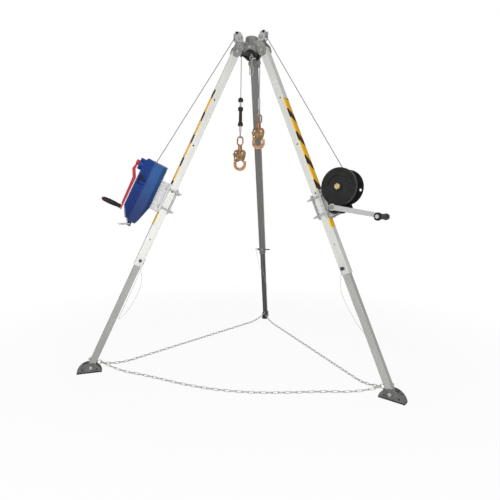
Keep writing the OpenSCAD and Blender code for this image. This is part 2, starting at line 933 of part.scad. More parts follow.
module winch_frame() {
    color(paint_black)
        on_leg(right)
            difference() {
                union() {
                    across(near_t0, near_t1)
                        plate_outline(86);
                    across(far_t0, far_t1)
                        plate_outline(100);
                    translate([clamp_out + seat, near_t1 - 1, -winch_base])
                        cube([4, far_t0 - near_t1 + 2, winch_clamp_length + 14]);
                    for (turn = [-78, 112])
                        translate([drum_at[0] + 79 * cos(turn), 0, drum_at[1] + 79 * sin(turn)])
                            cross_bar(5, near_t1 - 1, far_t0 + 1);
                }
                at_drum() {
                    cross_bar(10.2, 0, far);
                    cross_bar(28, -far, 0);
                }
                at_pinion()
                    cross_bar(9 + running, -far, far);
                for (turn = [-35, 60])
                    translate([drum_at[0] + 84 * cos(turn), 0, drum_at[1] + 84 * sin(turn)])
                        cross_bar(7, 0, far);
            }
}

module winch_drum() {
    core = winding_radius - cable_diameter / 2 - seat;
    color(paint_black)
        on_leg(right)
            at_drum()
                difference() {
                    union() {
                        cross_bar(core, drum_t0 - 1, drum_t1 + 1);
                        cross_bar(flange_radius, drum_t0 - 3, drum_t0);
                        cross_bar(flange_radius, drum_t1, drum_t1 + 3);
                    }
                    cross_bar(10 + running, -far, far);
                    for (turn = [30, 150, 270])
                        translate([52 * cos(turn), 0, 52 * sin(turn)])
                            cross_bar(6, drum_t1 - 2, far);
                }
}

module winch_gear() {
    color(steel_grey)
        on_leg(right)
            at_drum()
                difference() {
                    union() {
                        across(gear_t0, gear_t1)
                            rotate(mesh_turn)
                                gear_outline(gear_teeth, 0.35);
                        cross_bar(27.5, gear_t1 - 1, drum_t0 - 3 - seat);
                    }
                    cross_bar(10 + running, -far, far);
                    for (turn = [0 : 60 : 300])
                        translate([58 * cos(turn), 0, 58 * sin(turn)])
                            cross_bar(14, -far, 0);
                }
}

module winch_pinion() {
    color(steel_grey)
        on_leg(right)
            at_pinion() {
                across(gear_t0 - 1, gear_t1 + 1)
                    rotate(mesh_turn + 180 + 180 / pinion_teeth)
                        gear_outline(pinion_teeth, 0.35);
                cross_bar(9, -99, far_t1 + 4);
                cross_bar(13, far_t1 + seat, far_t1 + 5);
                cross_nut(12, -100, -90 - seat);
            }
}

module cover_outline(inset) {
    turn = mesh_turn;
    side = [-sin(turn), cos(turn)];
    big = cover_radius - inset;
    small = 36 - inset;
    translate(drum_at)
        circle(r = big, $fn = 96);
    translate(pinion_at)
        circle(r = small, $fn = 64);
    polygon([
        drum_at + side * big * 0.86 + 20 * [cos(turn), sin(turn)],
        pinion_at + side * small * 0.93,
        pinion_at - side * small * 0.93,
        drum_at - side * big * 0.86 + 20 * [cos(turn), sin(turn)]
    ]);
}

module winch_cover() {
    color(paint_black)
        on_leg(right)
            difference() {
                union() {
                    across(-62, near_t0 - seat)
                        cover_outline(0);
                    across(-67, -61)
                        intersection() {
                            translate(drum_at)
                                difference() {
                                    circle(r = 86, $fn = 96);
                                    circle(r = 62, $fn = 96);
                                }
                            translate(drum_at)
                                rotate(-12)
                                    polygon([[0, 0], [130, 0], [130, 130], [-130, 130], [-130, 40]]);
                        }
                    at_drum()
                        cross_bar(26, -66, -61);
                    at_pinion()
                        cross_bar(17, -66, -61);
                    for (turn = [-70, -20, 150, 200])
                        translate([drum_at[0] + 94 * cos(turn), 0, drum_at[1] + 94 * sin(turn)])
                            cross_nut(7, -66, -61);
                }
                across(-59, 0)
                    cover_outline(3);
                at_drum()
                    cross_bar(10.3, -far, 0);
                at_pinion()
                    cross_bar(9.4, -far, 0);
            }
}

// Brass drum axle with its two nuts
module winch_bolts() {
    color(brass)
        on_leg(right)
            at_drum() {
                cross_bar(10, -70, far_t1 + 8);
                cross_nut(17, -75, -66 - seat);
                cross_nut(17, far_t1 + seat, far_t1 + 11);
            }
}

// Cable lines: outer tangents to the sheaves
sheave_at = [
    (sheave_r - hinge_radius) * tilt_cos + (sheave_z - hinge_height) * tilt_sin,
    (sheave_z - hinge_height) * tilt_cos - (sheave_r - hinge_radius) * tilt_sin
];
winch_line = sheave_at - drum_at;
winch_turn = atan2(winch_line[1], winch_line[0]) - acos((winding_radius - sheave_pitch) / norm(winch_line));
winding_t = drum_t1 - cable_diameter / 2 - 1;
winding_pitch = cable_diameter + 0.6;
winding_rings = 24;

function winding_point(k) =
    let (
        loop = k / winding_rings,
        turn = winch_turn - 360 * (winding_loops - loop)
    )
        [drum_at[0] + winding_radius * cos(turn), winding_t - winding_pitch * (winding_loops - loop),
         -drum_at[1] - winding_radius * sin(turn)];

winding_last = winding_loops * winding_rings;
winding_in = unit(winding_point(1) - winding_point(0));
winding_out = unit(winding_point(winding_last) - winding_point(winding_last - 1));
winding_route = concat(
    [winding_point(0) - cable_diameter * winding_in],
    [for (k = [0 : winding_last]) winding_point(k)],
    [winding_point(winding_last) + cable_diameter * winding_out]
);
winding_gap = min([
    for (k = [0 : winding_last - winding_rings])
        norm(winding_point(k + winding_rings) - winding_point(k)) - cable_diameter
]);
echo(least_gap_of_the_winding = winding_gap);

module winch_winding() {
    color(cable_grey)
        swept_tube([for (p = winding_route) from_leg(right, p[0], p[1], p[2])], cable_diameter, 6);
}

winch_start = winding_point(winding_last) + (cable_diameter + seat) * winding_out;

// Turn of the line of each cable in the upright plane of its leg
block_exit = [155, -block_top + seat];
block_line = sheave_at - block_exit;
block_turn = atan2(block_line[1], block_line[0]) - acos(-sheave_pitch / norm(block_line));

function sheave_wrap(angle, turn) = [
    for (i = [0 : 12])
        let (a = turn + leg_tilt + (180 - turn - leg_tilt) * i / 12)
            from_arm(angle, sheave_r + sheave_pitch * cos(a), 0, sheave_z + sheave_pitch * sin(a))
];

hook_length = 150;
winch_end_top = winch_hook_height + 322;
block_end_top = block_hook_height + 466;

module winch_cable() {
    route = concat(
        [from_leg(right, winch_start[0], winch_start[1], winch_start[2])],
        sheave_wrap(right, winch_turn),
        [from_arm(right, drop_r, 0, winch_end_top + seat)]
    );
    color(cable_grey)
        swept_tube(route, cable_diameter, 8);
}

module block_cable() {
    route = concat(
        [from_leg(left, block_exit[0], 0, -block_exit[1])],
        sheave_wrap(left, block_turn),
        [from_arm(left, drop_r, 0, block_end_top + seat)]
    );
    color(cable_grey)
        swept_tube(route, cable_diameter, 8);
}

// Winch crank and grip
module at_crank_end() {
    translate([crank_end[0], 0, crank_end[1]])
        children();
}

module winch_crank() {
    side = [-sin(crank_turn), cos(crank_turn)];
    color(zinc)
        on_leg(right) {
            difference() {
                across(-90, -82)
                    union() {
                        translate(pinion_at)
                            circle(r = 19, $fn = 48);
                        translate(crank_end)
                            circle(r = 15, $fn = 48);
                        polygon([
                            pinion_at + 14 * side, crank_end + 12 * side,
                            crank_end - 12 * side, pinion_at - 14 * side
                        ]);
                    }
                at_pinion()
                    cross_bar(9.2, -far, far);
            }
            at_crank_end() {
                cross_bar(6, -spindle_tip + 2, -86);
                cross_nut(10, -spindle_tip, -207);
            }
        }
}

module winch_grip() {
    color(rubber_black)
        on_leg(right)
            at_crank_end()
                translate([0, -96, 0])
                    rotate([90, 0, 0])
                        rotate_extrude($fn = 64)
                            polygon([
                                [6 + running, 0], [15, 0], [17, 4], [14, 14], [13, 50], [15, 86], [20, 104],
                                [20, 109], [6 + running, 109]
                            ]);
}

// Retrieval block on the left leg
block_clamp_out = 80;
block_back = block_clamp_out + 6.3;
block_ridge = 165;
block_face = 220;
block_end = block_top + block_length;
block_half = block_width / 2;
block_crank_at = [20, -(block_top + 43)];
lever_at = [block_half - 17.5, -(block_top + 150)];
block_clamp_top = block_top + 74;
block_clamp_length = 186;
bracket_base = block_clamp_top + block_clamp_length + 5;
bracket_half = 45;

module block_clamp() {
    on_leg(left)
        leg_clamp(block_clamp_top, block_clamp_length, block_clamp_out);
}

module block_bracket() {
    color(zinc)
        on_leg(left)
            difference() {
                across(-bracket_half, bracket_half)
                    polygon([
                        [block_clamp_out + seat, -bracket_base], [block_clamp_out + 6, -bracket_base],
                        [block_clamp_out + 6, -block_top + seat], [196, -block_top + seat],
                        [196, -block_top + 5], [block_clamp_out + seat, -block_top + 5]
                    ]);
                translate([block_exit[0], 0, -block_top - 10])
                    cylinder(r = 9, h = 40, $fn = 40);
                for (side = [-1, 1])
                    translate([120, side * 30, -block_top - 10])
                        cylinder(r = 4, h = 40, $fn = 32);
            }
}

module block_outline(more) {
    intersection() {
        translate([-block_half - more, -block_end - more])
            square([block_width + 2 * more, block_length + 2 * more]);
        translate([0, -block_top - block_length / 2])
            circle(r = block_length / 2 + 12 + more, $fn = 128);
    }
}

module block_back_shell() {
    color(block_blue)
        on_leg(left) {
            intersection() {
                outward(block_back, block_ridge - 0.2)
                    block_outline(0);
                across(-far, far)
                    polygon([
                        [block_back, -block_top + 10], [block_ridge, -block_top + 10],
                        [block_ridge, -block_end - 10], [127, -block_end - 10], [block_back, -block_top - 266]
                    ]);
                along(block_top - 20, block_end + 20)
                    polygon([
                        [block_back, 30 - block_half], [block_back + 26, -block_half - 1],
                        [block_ridge, -block_half - 1], [block_ridge, block_half + 1],
                        [block_back + 26, block_half + 1], [block_back, block_half - 30]
                    ]);
            }
            difference() {
                translate([138, -18, -block_end - 26])
                    cube([24, 36, 40]);
                translate([150, 0, -block_end - 13])
                    cross_bar(4.3, -60, 60);
            }
        }
}

module block_front_shell() {
    color(block_blue)
        on_leg(left)
            difference() {
                union() {
                    intersection() {
                        outward(block_ridge, block_face)
                            block_outline(0);
                        across(-far, far)
                            polygon([
                                [block_ridge, 10 - block_top], [200, 10 - block_top],
                                [block_face, -block_top - 22], [block_face, -block_end + 80],
                                [186, -block_end + 14], [block_ridge, -block_end + 8]
                            ]);
                        along(block_top - 20, block_end + 20)
                            polygon([
                                [block_ridge, -block_half], [block_face, 44 - block_half],
                                [block_face, block_half - 44], [block_ridge, block_half]
                            ]);
                    }
                    outward(block_ridge, block_ridge + 5)
                        block_outline(3);
                    translate([0, block_crank_at[0], block_crank_at[1]])
                        out_bar(36, block_ridge + 10, block_face + 23);
                    translate([0, lever_at[0], lever_at[1]])
                        out_bar(13, block_ridge + 2, block_ridge + 38);
                }
                translate([0, block_crank_at[0], block_crank_at[1]])
                    out_bar(9 + running, block_face - 6, far);
                translate([0, lever_at[0], lever_at[1]])
                    out_bar(5 + running, block_ridge + 18, far);
                translate([block_ridge - 1, -bracket_half - seat, -block_top - seat])
                    cube([12, 2 * (bracket_half + seat), 10]);
            }
}

module block_crank() {
    s0 = block_crank_at[1];
    s1 = s0 - block_crank_reach;
    n0 = block_face + 24;
    color(crank_red)
        on_leg(left)
            translate([0, block_crank_at[0], 0]) {
                translate([0, 0, s0]) {
                    out_bar(9, block_face - 5, n0 + 18);
                    out_bar(17, n0, n0 + 16);
                }
                across(-12, 12)
                    polygon([
                        [n0 + 4, s0 + 14], [n0 + 13, s0 + 14], [n0 + 13, s0 - 44], [block_face + 14, s0 - 92],
                        [block_face + 14, s1 - 15], [block_face + 5, s1 - 15], [block_face + 5, s0 - 89],
                        [n0 + 4, s0 - 42]
                    ]);
                translate([0, 0, s1]) {
                    out_bar(5.5, block_face + 8, block_face + 126);
                    out_bar(8.5, block_face + 123, block_face + 128);
                }
            }
}

module block_grip() {
    color(rubber_black)
        on_leg(left)
            translate([block_face + 16, block_crank_at[0], block_crank_at[1] - block_crank_reach])
                rotate([0, 90, 0])
                    rotate_extrude($fn = 64)
                        polygon([
                            [5.5 + running, 0], [14, 0], [15, 3], [12, 8], [12, 16], [14.5, 40], [15, 70],
                            [13, 100], [10, 106], [5.5 + running, 106]
                        ]);
}

module block_lever() {
    n0 = block_ridge + 38 + seat;
    color(rubber_black)
        on_leg(left)
            translate([0, lever_at[0], lever_at[1]]) {
                out_bar(5, block_ridge + 20, n0 + 8);
                out_bar(12, n0, n0 + 9);
                outward(n0, n0 + 7)
                    polygon([[-8, -2], [-5, 8], [28, 34], [36, 26], [8, -6]]);
                translate([0, 30, 29])
                    out_bar(10, n0 - 12, n0 + 12);
            }
}

// Carrying bail at the bottom of the block
module block_bail() {
    color(zinc)
        on_leg(left)
            translate([150, 0, -block_end - 13]) {
                cross_bar(4, -38, 38);
                for (side = [-1, 1])
                    translate([0, side * 36, 0])
                        rotate([0, 118, 0])
                            translate([0, 0, -5])
                                cylinder(r = 4.5, h = 62, $fn = 40);
                rotate([0, 118, 0])
                    translate([0, 0, 56])
                        cross_bar(6, -38, 38);
            }
}

// Snap hooks: each hangs under its sheave, turned to face the front
eye_wire = 9;
eye_low = 160;
eye_top = 224;
gate_at = [17, 114];
gate_play = 0.4;
gate_slot = 11.2;

module at_hook(angle, height) {
    translate(from_arm(angle, drop_r, 0, height))
        children();
}

module hook_outline() {
    difference() {
        union() {
            translate([0, 41])
                circle(r = 41, $fn = 72);
            polygon([
                [-41, 41], [-38, 84], [-28, 116], [-13, 136], [13, 136],
                [27, 124], [33, 104], [41, 62], [41, 41]
            ]);
        }
        translate([0, 43])
            circle(r = 24, $fn = 72);
        polygon([[-24, 43], [-22, 84], [-13, 108], [4, 114], [16, 100], [24, 62], [24, 43]]);
        polygon([[8, 66], [60, 58], [60, 120], [gate_at[0] + 11, 120], [gate_at[0] + 11, 100], [8, 98]]);
    }
}

module hook_body() {
    h = hook_thickness / 2;
    difference() {
        union() {
            across(-h, h)
                hook_outline();
            translate([0, 0, 122])
                cylinder(r = 14, h = hook_length - 122, $fn = 48);
            translate([-34, -5, 96])
                rotate([0, -24, 0])
                    translate([-7, 0, -16])
                        cube([6, 10, 34]);
        }
        translate([0, 0, 128])
            cylinder(r = 7 + running, h = 60, $fn = 40);
        translate([gate_at[0], 0, gate_at[1]]) {
            cross_bar(gate_slot, -h + 3, h - 3);
            cross_bar(3.1, -60, 60);
        }
        translate([gate_at[0] - 8, -h + 3, 60])
            cube([60, hook_thickness - 6, 52]);
    }
    translate([gate_at[0], 0, gate_at[1]])
        cross_bar(3, -h - 1, h + 1);
}

module hook_gate() {
    h = hook_thickness / 2 - 3 - gate_play;
    difference() {
        union() {
            translate([gate_at[0], 0, gate_at[1]])
                cross_bar(9, -h, h);
            across(-h, h)
                polygon([
                    gate_at + [-8, -2], gate_at + [8, 2], gate_at + [11, -14], [31, 70],
                    [23.4, 67], [23.4, 58], [19, 56], [13, 62], [13, 80]
                ]);
        }
        translate([gate_at[0], 0, gate_at[1]])
            cross_bar(3 + running, -60, 60);
    }
}

module hook_eye_ring() {
    mid = (eye_low + eye_top) / 2;
    translate([0, 0, mid])
        oval_ring(18, (eye_top - eye_low) / 2 - eye_wire / 2, eye_wire);
    translate([0, 0, hook_length + seat])
        cylinder(r = 13, h = 12, $fn = 48);
    translate([0, 0, 129])
        cylinder(r = 7, h = 30, $fn = 40);
}

// Thimble through the swivel eye, with the ferrule on the cable above it
module cable_thimble(ferrule_top) {
    bar = eye_top - eye_wire / 2;
    mid = bar + 6;
    translate([0, 0, mid])
        rotate([90, 0, 90])
            rotate_extrude($fn = 56)
                translate([14, 0])
                    circle(d = 6, $fn = 32);
    for (side = [-1, 1])
        translate([0, side * 12.2, mid + 6.9])
            rotate([side * 19, 0, 0])
                cylinder(d = 5.6, h = 28, $fn = 32);
    translate([0, 0, mid + 27])
        cylinder(r = 7.5, h = ferrule_top - mid - 27, $fn = 48);
}

module winch_cable_end() {
    color(zinc)
        at_hook(right, winch_hook_height)
            cable_thimble(322);
}

module winch_hook_eye() {
    color(hook_gold)
        at_hook(right, winch_hook_height)
            hook_eye_ring();
}

module winch_hook() {
    color(hook_gold)
        at_hook(right, winch_hook_height)
            hook_body();
}

module winch_hook_gate() {
    color(hook_gold)
        at_hook(right, winch_hook_height)
            hook_gate();
}

module block_cable_end() {
    color(zinc)
        at_hook(left, block_hook_height) {
            cable_thimble(296);
            translate([0, 0, 295])
                cylinder(d = cable_diameter, h = 140, $fn = 32);
        }
}

// Black sleeve over the ferrule and the stopper at the top of the cable end
module block_cable_stop() {
    color(rubber_black)
        at_hook(left, block_hook_height)
            rotate_extrude($fn = 64)
                polygon([
                    [8, 286], [15, 288], [16, 292], [11, 318], [10, 392], [11, 402], [11, 407],
                    [cable_diameter / 2 + 0.2, 407], [cable_diameter / 2 + 0.2, 297], [8, 297]
                ]);
    color(rubber_black)
        at_hook(left, block_hook_height)
            rotate_extrude($fn = 64)
                polygon([[0, 440], [11, 440], [12, 443], [12, 460], [9, 466], [0, 466]]);
}

spring_curls = 5;
spring_wire = 1.8;
spring_radius = 6.4;
spring_pitch = (440 - 407 - 2 * seat - spring_wire) / spring_curls;
spring_gap = spring_pitch - spring_wire;
echo(least_gap_of_the_spring = spring_gap);

module block_cable_spring() {
    route = [
        for (k = [0 : spring_curls * 8])
            [spring_radius * cos(45 * k), spring_radius * sin(45 * k),
             407 + seat + spring_wire / 2 + spring_pitch * k / 8]
    ];
    ends = concat(
        [route[0] - spring_wire * unit([0, 1, 0])],
        route,
        [route[len(route) - 1] + spring_wire * unit([0, 1, 0])]
    );
    color(zinc)
        at_hook(left, block_hook_height)
            swept_tube(ends, spring_wire, 6);
}

module block_hook_eye() {
    color(hook_gold)
        at_hook(left, block_hook_height)
            hook_eye_ring();
}

module block_hook() {
    color(hook_gold)
        at_hook(left, block_hook_height)
            hook_body();
}

module block_hook_gate() {
    color(hook_gold)
        at_hook(left, block_hook_height)
            hook_gate();
}

head_casting();
pulley_brackets();
left_sheave();
right_sheave();
head_fittings();
keeper_caps();
upper_leg(rear);  // rear_upper_leg
upper_leg(left);  // left_upper_leg
upper_leg(right);  // right_upper_leg
lower_leg(rear);  // rear_lower_leg
lower_leg(left);  // left_lower_leg
lower_leg(right);  // right_lower_leg
leg_fittings(rear);  // rear_leg_fittings
leg_fittings(left);  // left_leg_fittings
leg_fittings(right);  // right_leg_fittings
foot_shoe(rear);  // rear_foot_shoe
foot_shoe(left);  // left_foot_shoe
foot_shoe(right);  // right_foot_shoe
foot_sole(rear);  // rear_foot_sole
foot_sole(left);  // left_foot_sole
foot_sole(right);  // right_foot_sole
lock_pin(rear, 1);  // rear_lock_pin
lock_pin(left, 1);  // left_lock_pin
lock_pin(right, -1);  // right_lock_pin
lanyard(rear, 1);  // rear_lanyard
lanyard(left, 1);  // left_lanyard
lanyard(right, -1);  // right_lanyard
front_chain();
right_chain();
left_chain();
winch_clamp();
winch_frame();
winch_drum();
winch_gear();
winch_pinion();
winch_cover();
winch_bolts();
winch_winding();
winch_cable();
winch_crank();
winch_grip();
block_clamp();
block_bracket();
block_back_shell();
block_front_shell();
block_crank();
block_grip();
block_lever();
block_bail();
block_cable();
winch_cable_end();
winch_hook_eye();
winch_hook();
winch_hook_gate();
block_cable_end();
block_cable_stop();
block_cable_spring();
block_hook_eye();
block_hook();
block_hook_gate();
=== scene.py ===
# %% [markdown]
# # A rescue tripod
# The stand is three square telescopic legs hinged to a cast head. A hand winch on the right leg and a
# closed retrieval block on the left leg each send a cable over a sheave to a swivel snap hook. The rigid
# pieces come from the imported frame, in metres, with +Z up. This lesson adds what is soft or too fine for
# the solids, gives every surface its finish, and lights the stand as in a studio photograph.

# %% Load the frame
import json
import math

import bpy
import numpy as np
from mathutils import Matrix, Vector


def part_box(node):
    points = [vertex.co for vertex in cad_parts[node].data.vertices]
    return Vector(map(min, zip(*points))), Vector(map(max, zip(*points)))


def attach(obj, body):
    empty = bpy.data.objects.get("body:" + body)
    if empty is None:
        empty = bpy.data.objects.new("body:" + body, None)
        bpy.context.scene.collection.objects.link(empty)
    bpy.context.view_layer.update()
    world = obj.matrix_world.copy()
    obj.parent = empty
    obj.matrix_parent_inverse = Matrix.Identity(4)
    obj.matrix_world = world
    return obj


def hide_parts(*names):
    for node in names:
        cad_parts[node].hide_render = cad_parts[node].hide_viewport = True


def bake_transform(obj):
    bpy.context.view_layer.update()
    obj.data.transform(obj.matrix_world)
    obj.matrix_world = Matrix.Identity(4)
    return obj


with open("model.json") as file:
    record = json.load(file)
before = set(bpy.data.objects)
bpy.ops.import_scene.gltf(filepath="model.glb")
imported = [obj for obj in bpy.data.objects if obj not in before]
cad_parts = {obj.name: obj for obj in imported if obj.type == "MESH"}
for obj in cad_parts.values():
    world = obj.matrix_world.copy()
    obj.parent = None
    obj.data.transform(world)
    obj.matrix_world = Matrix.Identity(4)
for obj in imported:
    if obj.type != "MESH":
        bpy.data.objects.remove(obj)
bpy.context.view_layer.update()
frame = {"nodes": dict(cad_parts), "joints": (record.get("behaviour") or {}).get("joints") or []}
joints = {joint["name"]: joint for joint in frame["joints"]}

# %% [markdown]
# ## Where things are
# The frame's own joints say where the stand's hinges are, so every place below is worked out from them and
# follows them if they move. A leg has its own directions: outward from its outer face, across it, and down
# it from the hinge.

# %% Places on the legs
LEG_TURN = {"rear": math.radians(90), "left": math.radians(210), "right": math.radians(330)}
UPRIGHT = np.array([0.0, 0.0, 1.0])
hinge_of = {leg: np.array(joints[f"{leg}_leg_fold"]["pos_m"]) for leg in LEG_TURN}
foot_of = {leg: np.array(joints[f"{leg}_foot_tilt"]["pos_m"]) for leg in LEG_TURN}
middle = np.mean(list(hinge_of.values()), axis=0)
hinge_radius = np.linalg.norm(hinge_of["rear"] - middle)
leg_run = foot_of["rear"] - hinge_of["rear"]
leg_tilt = math.atan2(leg_run[1], -leg_run[2])
leg_length = np.linalg.norm(leg_run)


def radial(leg):
    """Level direction from the stand's middle towards a leg: (cos, sin) of the leg's turn."""
    return np.array([math.cos(LEG_TURN[leg]), math.sin(LEG_TURN[leg]), 0.0])


def on_leg(leg, places):
    """Turns (outward, across, down) on a leg into the frame: the hinge, plus each number times its
    direction."""
    places = np.asarray(places, float)
    away = radial(leg)
    outward = away * math.cos(leg_tilt) + UPRIGHT * math.sin(leg_tilt)
    across = np.cross(UPRIGHT, away)
    down = away * math.sin(leg_tilt) - UPRIGHT * math.cos(leg_tilt)
    return hinge_of[leg] + places @ np.array([outward, across, down])


def on_arm(leg, places):
    """Turns (radius, across, height) at a leg's arm of the head into the frame."""
    places = np.asarray(places, float)
    away = radial(leg)
    return middle * [1, 1, 0] + places @ np.array([away, np.cross(UPRIGHT, away), UPRIGHT])


print(f"legs: {leg_length:.3f} m long, tilted {math.degrees(leg_tilt):.1f} degrees, "
      f"hinges {hinge_radius:.3f} m out")

# %% [markdown]
# ## The camera
# The photograph was taken from a little below chest height, slightly to the right of the line through the
# rear leg. A constraint could aim the camera, but it would keep the picture level. Here the camera's matrix
# is written out from a few measures, so that it can roll by about a degree, as the photograph does.

# %% Camera
VIEW_TURN = math.radians(9.6)
LOOK_DOWN = math.radians(5.0)
ROLL = math.radians(0.97)
EYE_BACK = 2.590
EYE_SIDE = 0.011
EYE_HEIGHT = 0.950
LENS = 27.65

view_side = np.array([math.cos(VIEW_TURN), math.sin(VIEW_TURN), 0.0])
view_level = np.array([-math.sin(VIEW_TURN), math.cos(VIEW_TURN), 0.0])
view_ahead = view_level * math.cos(LOOK_DOWN) - UPRIGHT * math.sin(LOOK_DOWN)
view_up = np.cross(view_side, view_ahead)
eye = middle * [1, 1, 0] + view_side * EYE_SIDE - view_level * EYE_BACK + UPRIGHT * EYE_HEIGHT

lens = bpy.data.cameras.new("studio_camera")
lens.lens = LENS
camera = bpy.data.objects.new("studio_camera", lens)
bpy.context.collection.objects.link(camera)
placing = np.eye(4)
placing[:3, 0] = view_side * math.cos(ROLL) + view_up * math.sin(ROLL)
placing[:3, 1] = view_up * math.cos(ROLL) - view_side * math.sin(ROLL)
placing[:3, 2] = -view_ahead
placing[:3, 3] = eye
camera.matrix_world = Matrix(placing.tolist())
bpy.context.scene.camera = camera
print("camera at", np.round(eye, 3))

# %% [markdown]
# ## Wire, from a profile carried along a path
# Cables, lanyards, chain links and springs are all round bars that follow a line. A curve object with a
# bevel could make them, but one function that carries a circle along a path also writes a UV map, with the
# length run along the bar and the turn round it, so that a finish can follow the lay of the strands.

# %% Paths
def run_along(path):
    """Length run at each point of a path: the sum of the straight steps before it."""
    return np.concatenate([[0], np.cumsum(np.linalg.norm(np.diff(path, axis=0), axis=1))])


def route_length(path):
    """Sum of the straight steps between a path's points."""
    return float(np.linalg.norm(np.diff(path, axis=0), axis=1).sum())


def smooth_route(points, steps):
    """Catmull-Rom curve: from p1 to p2 it is the cubic with slopes (p2 - p0) / 2 and (p3 - p1) / 2."""
    points = np.asarray(points, float)
    ends = np.vstack([2 * points[:1] - points[1:2], points, 2 * points[-1:] - points[-2:-1]])
    a, b, c, d = (ends[k : len(ends) - 3 + k, None] for k in range(4))
    u = (np.arange(steps) / steps)[None, :, None]
    curve = 0.5 * (2 * b + (c - a) * u + (2 * a - 5 * b + 4 * c - d) * u**2 + (3 * b - a - 3 * c + d) * u**3)
    return np.vstack([curve.reshape(-1, 3), points[-1:]])


# %% A round bar along a path
def bar_along(path, radius, sides, closed=False, direction=None):
    """Point (i, j) is path i plus radius i times (cos of angle j along side i, plus sin of it along lift i).

    Side and lift are square to the path's direction. Returns points, faces and a UV pair for each corner."""
    path = np.asarray(path, float)
    count = len(path)
    if direction is not None:
        ahead = np.tile(np.asarray(direction, float), (count, 1))
    elif closed:
        ahead = np.roll(path, -1, axis=0) - np.roll(path, 1, axis=0)
    else:
        ahead = np.gradient(path, axis=0)
    ahead = ahead / np.linalg.norm(ahead, axis=1, keepdims=True)
    square = np.linalg.svd(ahead, full_matrices=True)[2][2]
    side = np.cross(ahead, square)
    side = side / np.linalg.norm(side, axis=1, keepdims=True)
    lift = np.cross(ahead, side)
    turn = 2 * np.pi * np.arange(sides) / sides
    ring = side[:, None] * np.cos(turn)[None, :, None] + lift[:, None] * np.sin(turn)[None, :, None]
    points = path[:, None] + np.broadcast_to(radius, (count,))[:, None, None] * ring

    spans = count if closed else count - 1
    i, j = np.meshgrid(np.arange(spans), np.arange(sides), indexing="ij")
    i, j = i.ravel(), j.ravel()
    here, there = i * sides, ((i + 1) % count) * sides
    quads = np.stack([here + j, here + (j + 1) % sides, there + (j + 1) % sides, there + j], axis=1)
    run = run_along(path)
    run = np.append(run, run[-1] + np.linalg.norm(path[0] - path[-1]))
    along = np.stack([run[i], run[i], run[i + 1], run[i + 1]], axis=1)
    around = np.stack([j, j + 1, j + 1, j], axis=1) / sides
    faces = quads.tolist()
    uv = np.stack([along, around], axis=2).reshape(-1, 2)
    if not closed:
        first = np.arange(sides)[::-1]
        last = np.arange(sides) + (count - 1) * sides
        faces += [first.tolist(), last.tolist()]
        uv = np.vstack([uv, np.zeros((2 * sides, 2))])
    return points.reshape(-1, 3), faces, uv


# %% [markdown]
# ## From arrays to pieces
# A shape here is three arrays: points, faces and a UV pair for each corner. Several shapes that belong to
# one piece are joined as arrays, which is quicker and tidier than joining objects. Each piece becomes a
# mesh that sits at the origin with its place in its points, as the frame's own nodes do.

# %% Join shapes and make pieces
def join_shapes(shapes):
    """Joins (points, faces, uv) shapes: each shape's face numbers move past the points before it."""
    starts = np.cumsum([0] + [len(points) for points, _, _ in shapes])
    points = np.vstack([shape[0] for shape in shapes])
    faces = [[corner + start for corner in face] for start, shape in zip(starts, shapes) for face in shape[1]]
    return points, faces, np.vstack([shape[2] for shape in shapes])


def make_piece(name, shape, smooth=True):
    """A mesh object at the origin, with its place in its points."""
    points, faces, uv = shape
    mesh = bpy.data.meshes.new(name)
    mesh.from_pydata(points.tolist(), [], faces)
    mesh.uv_layers.new(name="run_and_turn").data.foreach_set("uv", uv.astype(np.float32).ravel())
    mesh.polygons.foreach_set("use_smooth", np.full(len(faces), smooth))
    mesh.update()
    piece = bpy.data.objects.new(name, mesh)
    bpy.context.collection.objects.link(piece)
    return piece


# %% [markdown]
# ## The lifting cables
# Each cable leaves its drum or casing, runs straight to the outer side of its sheave, wraps over the top and
# drops to its hook. The places where it touches could be set by eye, but they come from the axes of the
# joints here, so the cable always lies in its groove. It is one wire rope, made in two stretches: a slanted
# one and a hanging one.

# %% Where the cables touch
SHEAVE_PITCH = 0.022
WINDING_RADIUS = 0.040
WINDING_SIDE = 0.0336
BLOCK_EXIT = [0.155, 0.0, 0.8647]


def in_leg_plane(leg, point):
    """A point's radius from the stand's middle and its height, in the upright plane of a leg."""
    return np.array([(point - middle) @ radial(leg), point[2]])


def cable_touch(start, start_radius, end, end_radius):
    """Angle of the outer line that touches two circles: the line's own angle, less the arc cosine of
    the difference of the radii over the distance."""
    run = end - start
    return math.atan2(run[1], run[0]) - math.acos((start_radius - end_radius) / np.linalg.norm(run))


sheave_flat = {}
for leg in ("left", "right"):
    sheave_flat[leg] = in_leg_plane(leg, np.array(joints[f"{leg}_sheave_spin"]["pos_m"]))
drum_flat = in_leg_plane("right", np.array(joints["winch_drum_spin"]["pos_m"]))
winch_touch = cable_touch(drum_flat, WINDING_RADIUS, sheave_flat["right"], SHEAVE_PITCH)
winch_exit = drum_flat + WINDING_RADIUS * np.array([math.cos(winch_touch), math.sin(winch_touch)])
block_exit = on_leg("left", BLOCK_EXIT)
block_touch = cable_touch(in_leg_plane("left", block_exit), 0, sheave_flat["left"], SHEAVE_PITCH)
cable_start = {"winch": on_arm("right", [winch_exit[0], WINDING_SIDE, winch_exit[1]]), "block": block_exit}
print(f"cables touch at {math.degrees(winch_touch):.1f} and {math.degrees(block_touch):.1f} degrees")

# %% Lifting cables
CABLE = 0.0048
CABLE_END_TOP = {"winch": 1.707, "block": 1.714}
CABLE_SIDES = 12
ARC_STEPS = 25
SLOPE_STEPS = 16
HANGING_STEPS = 24


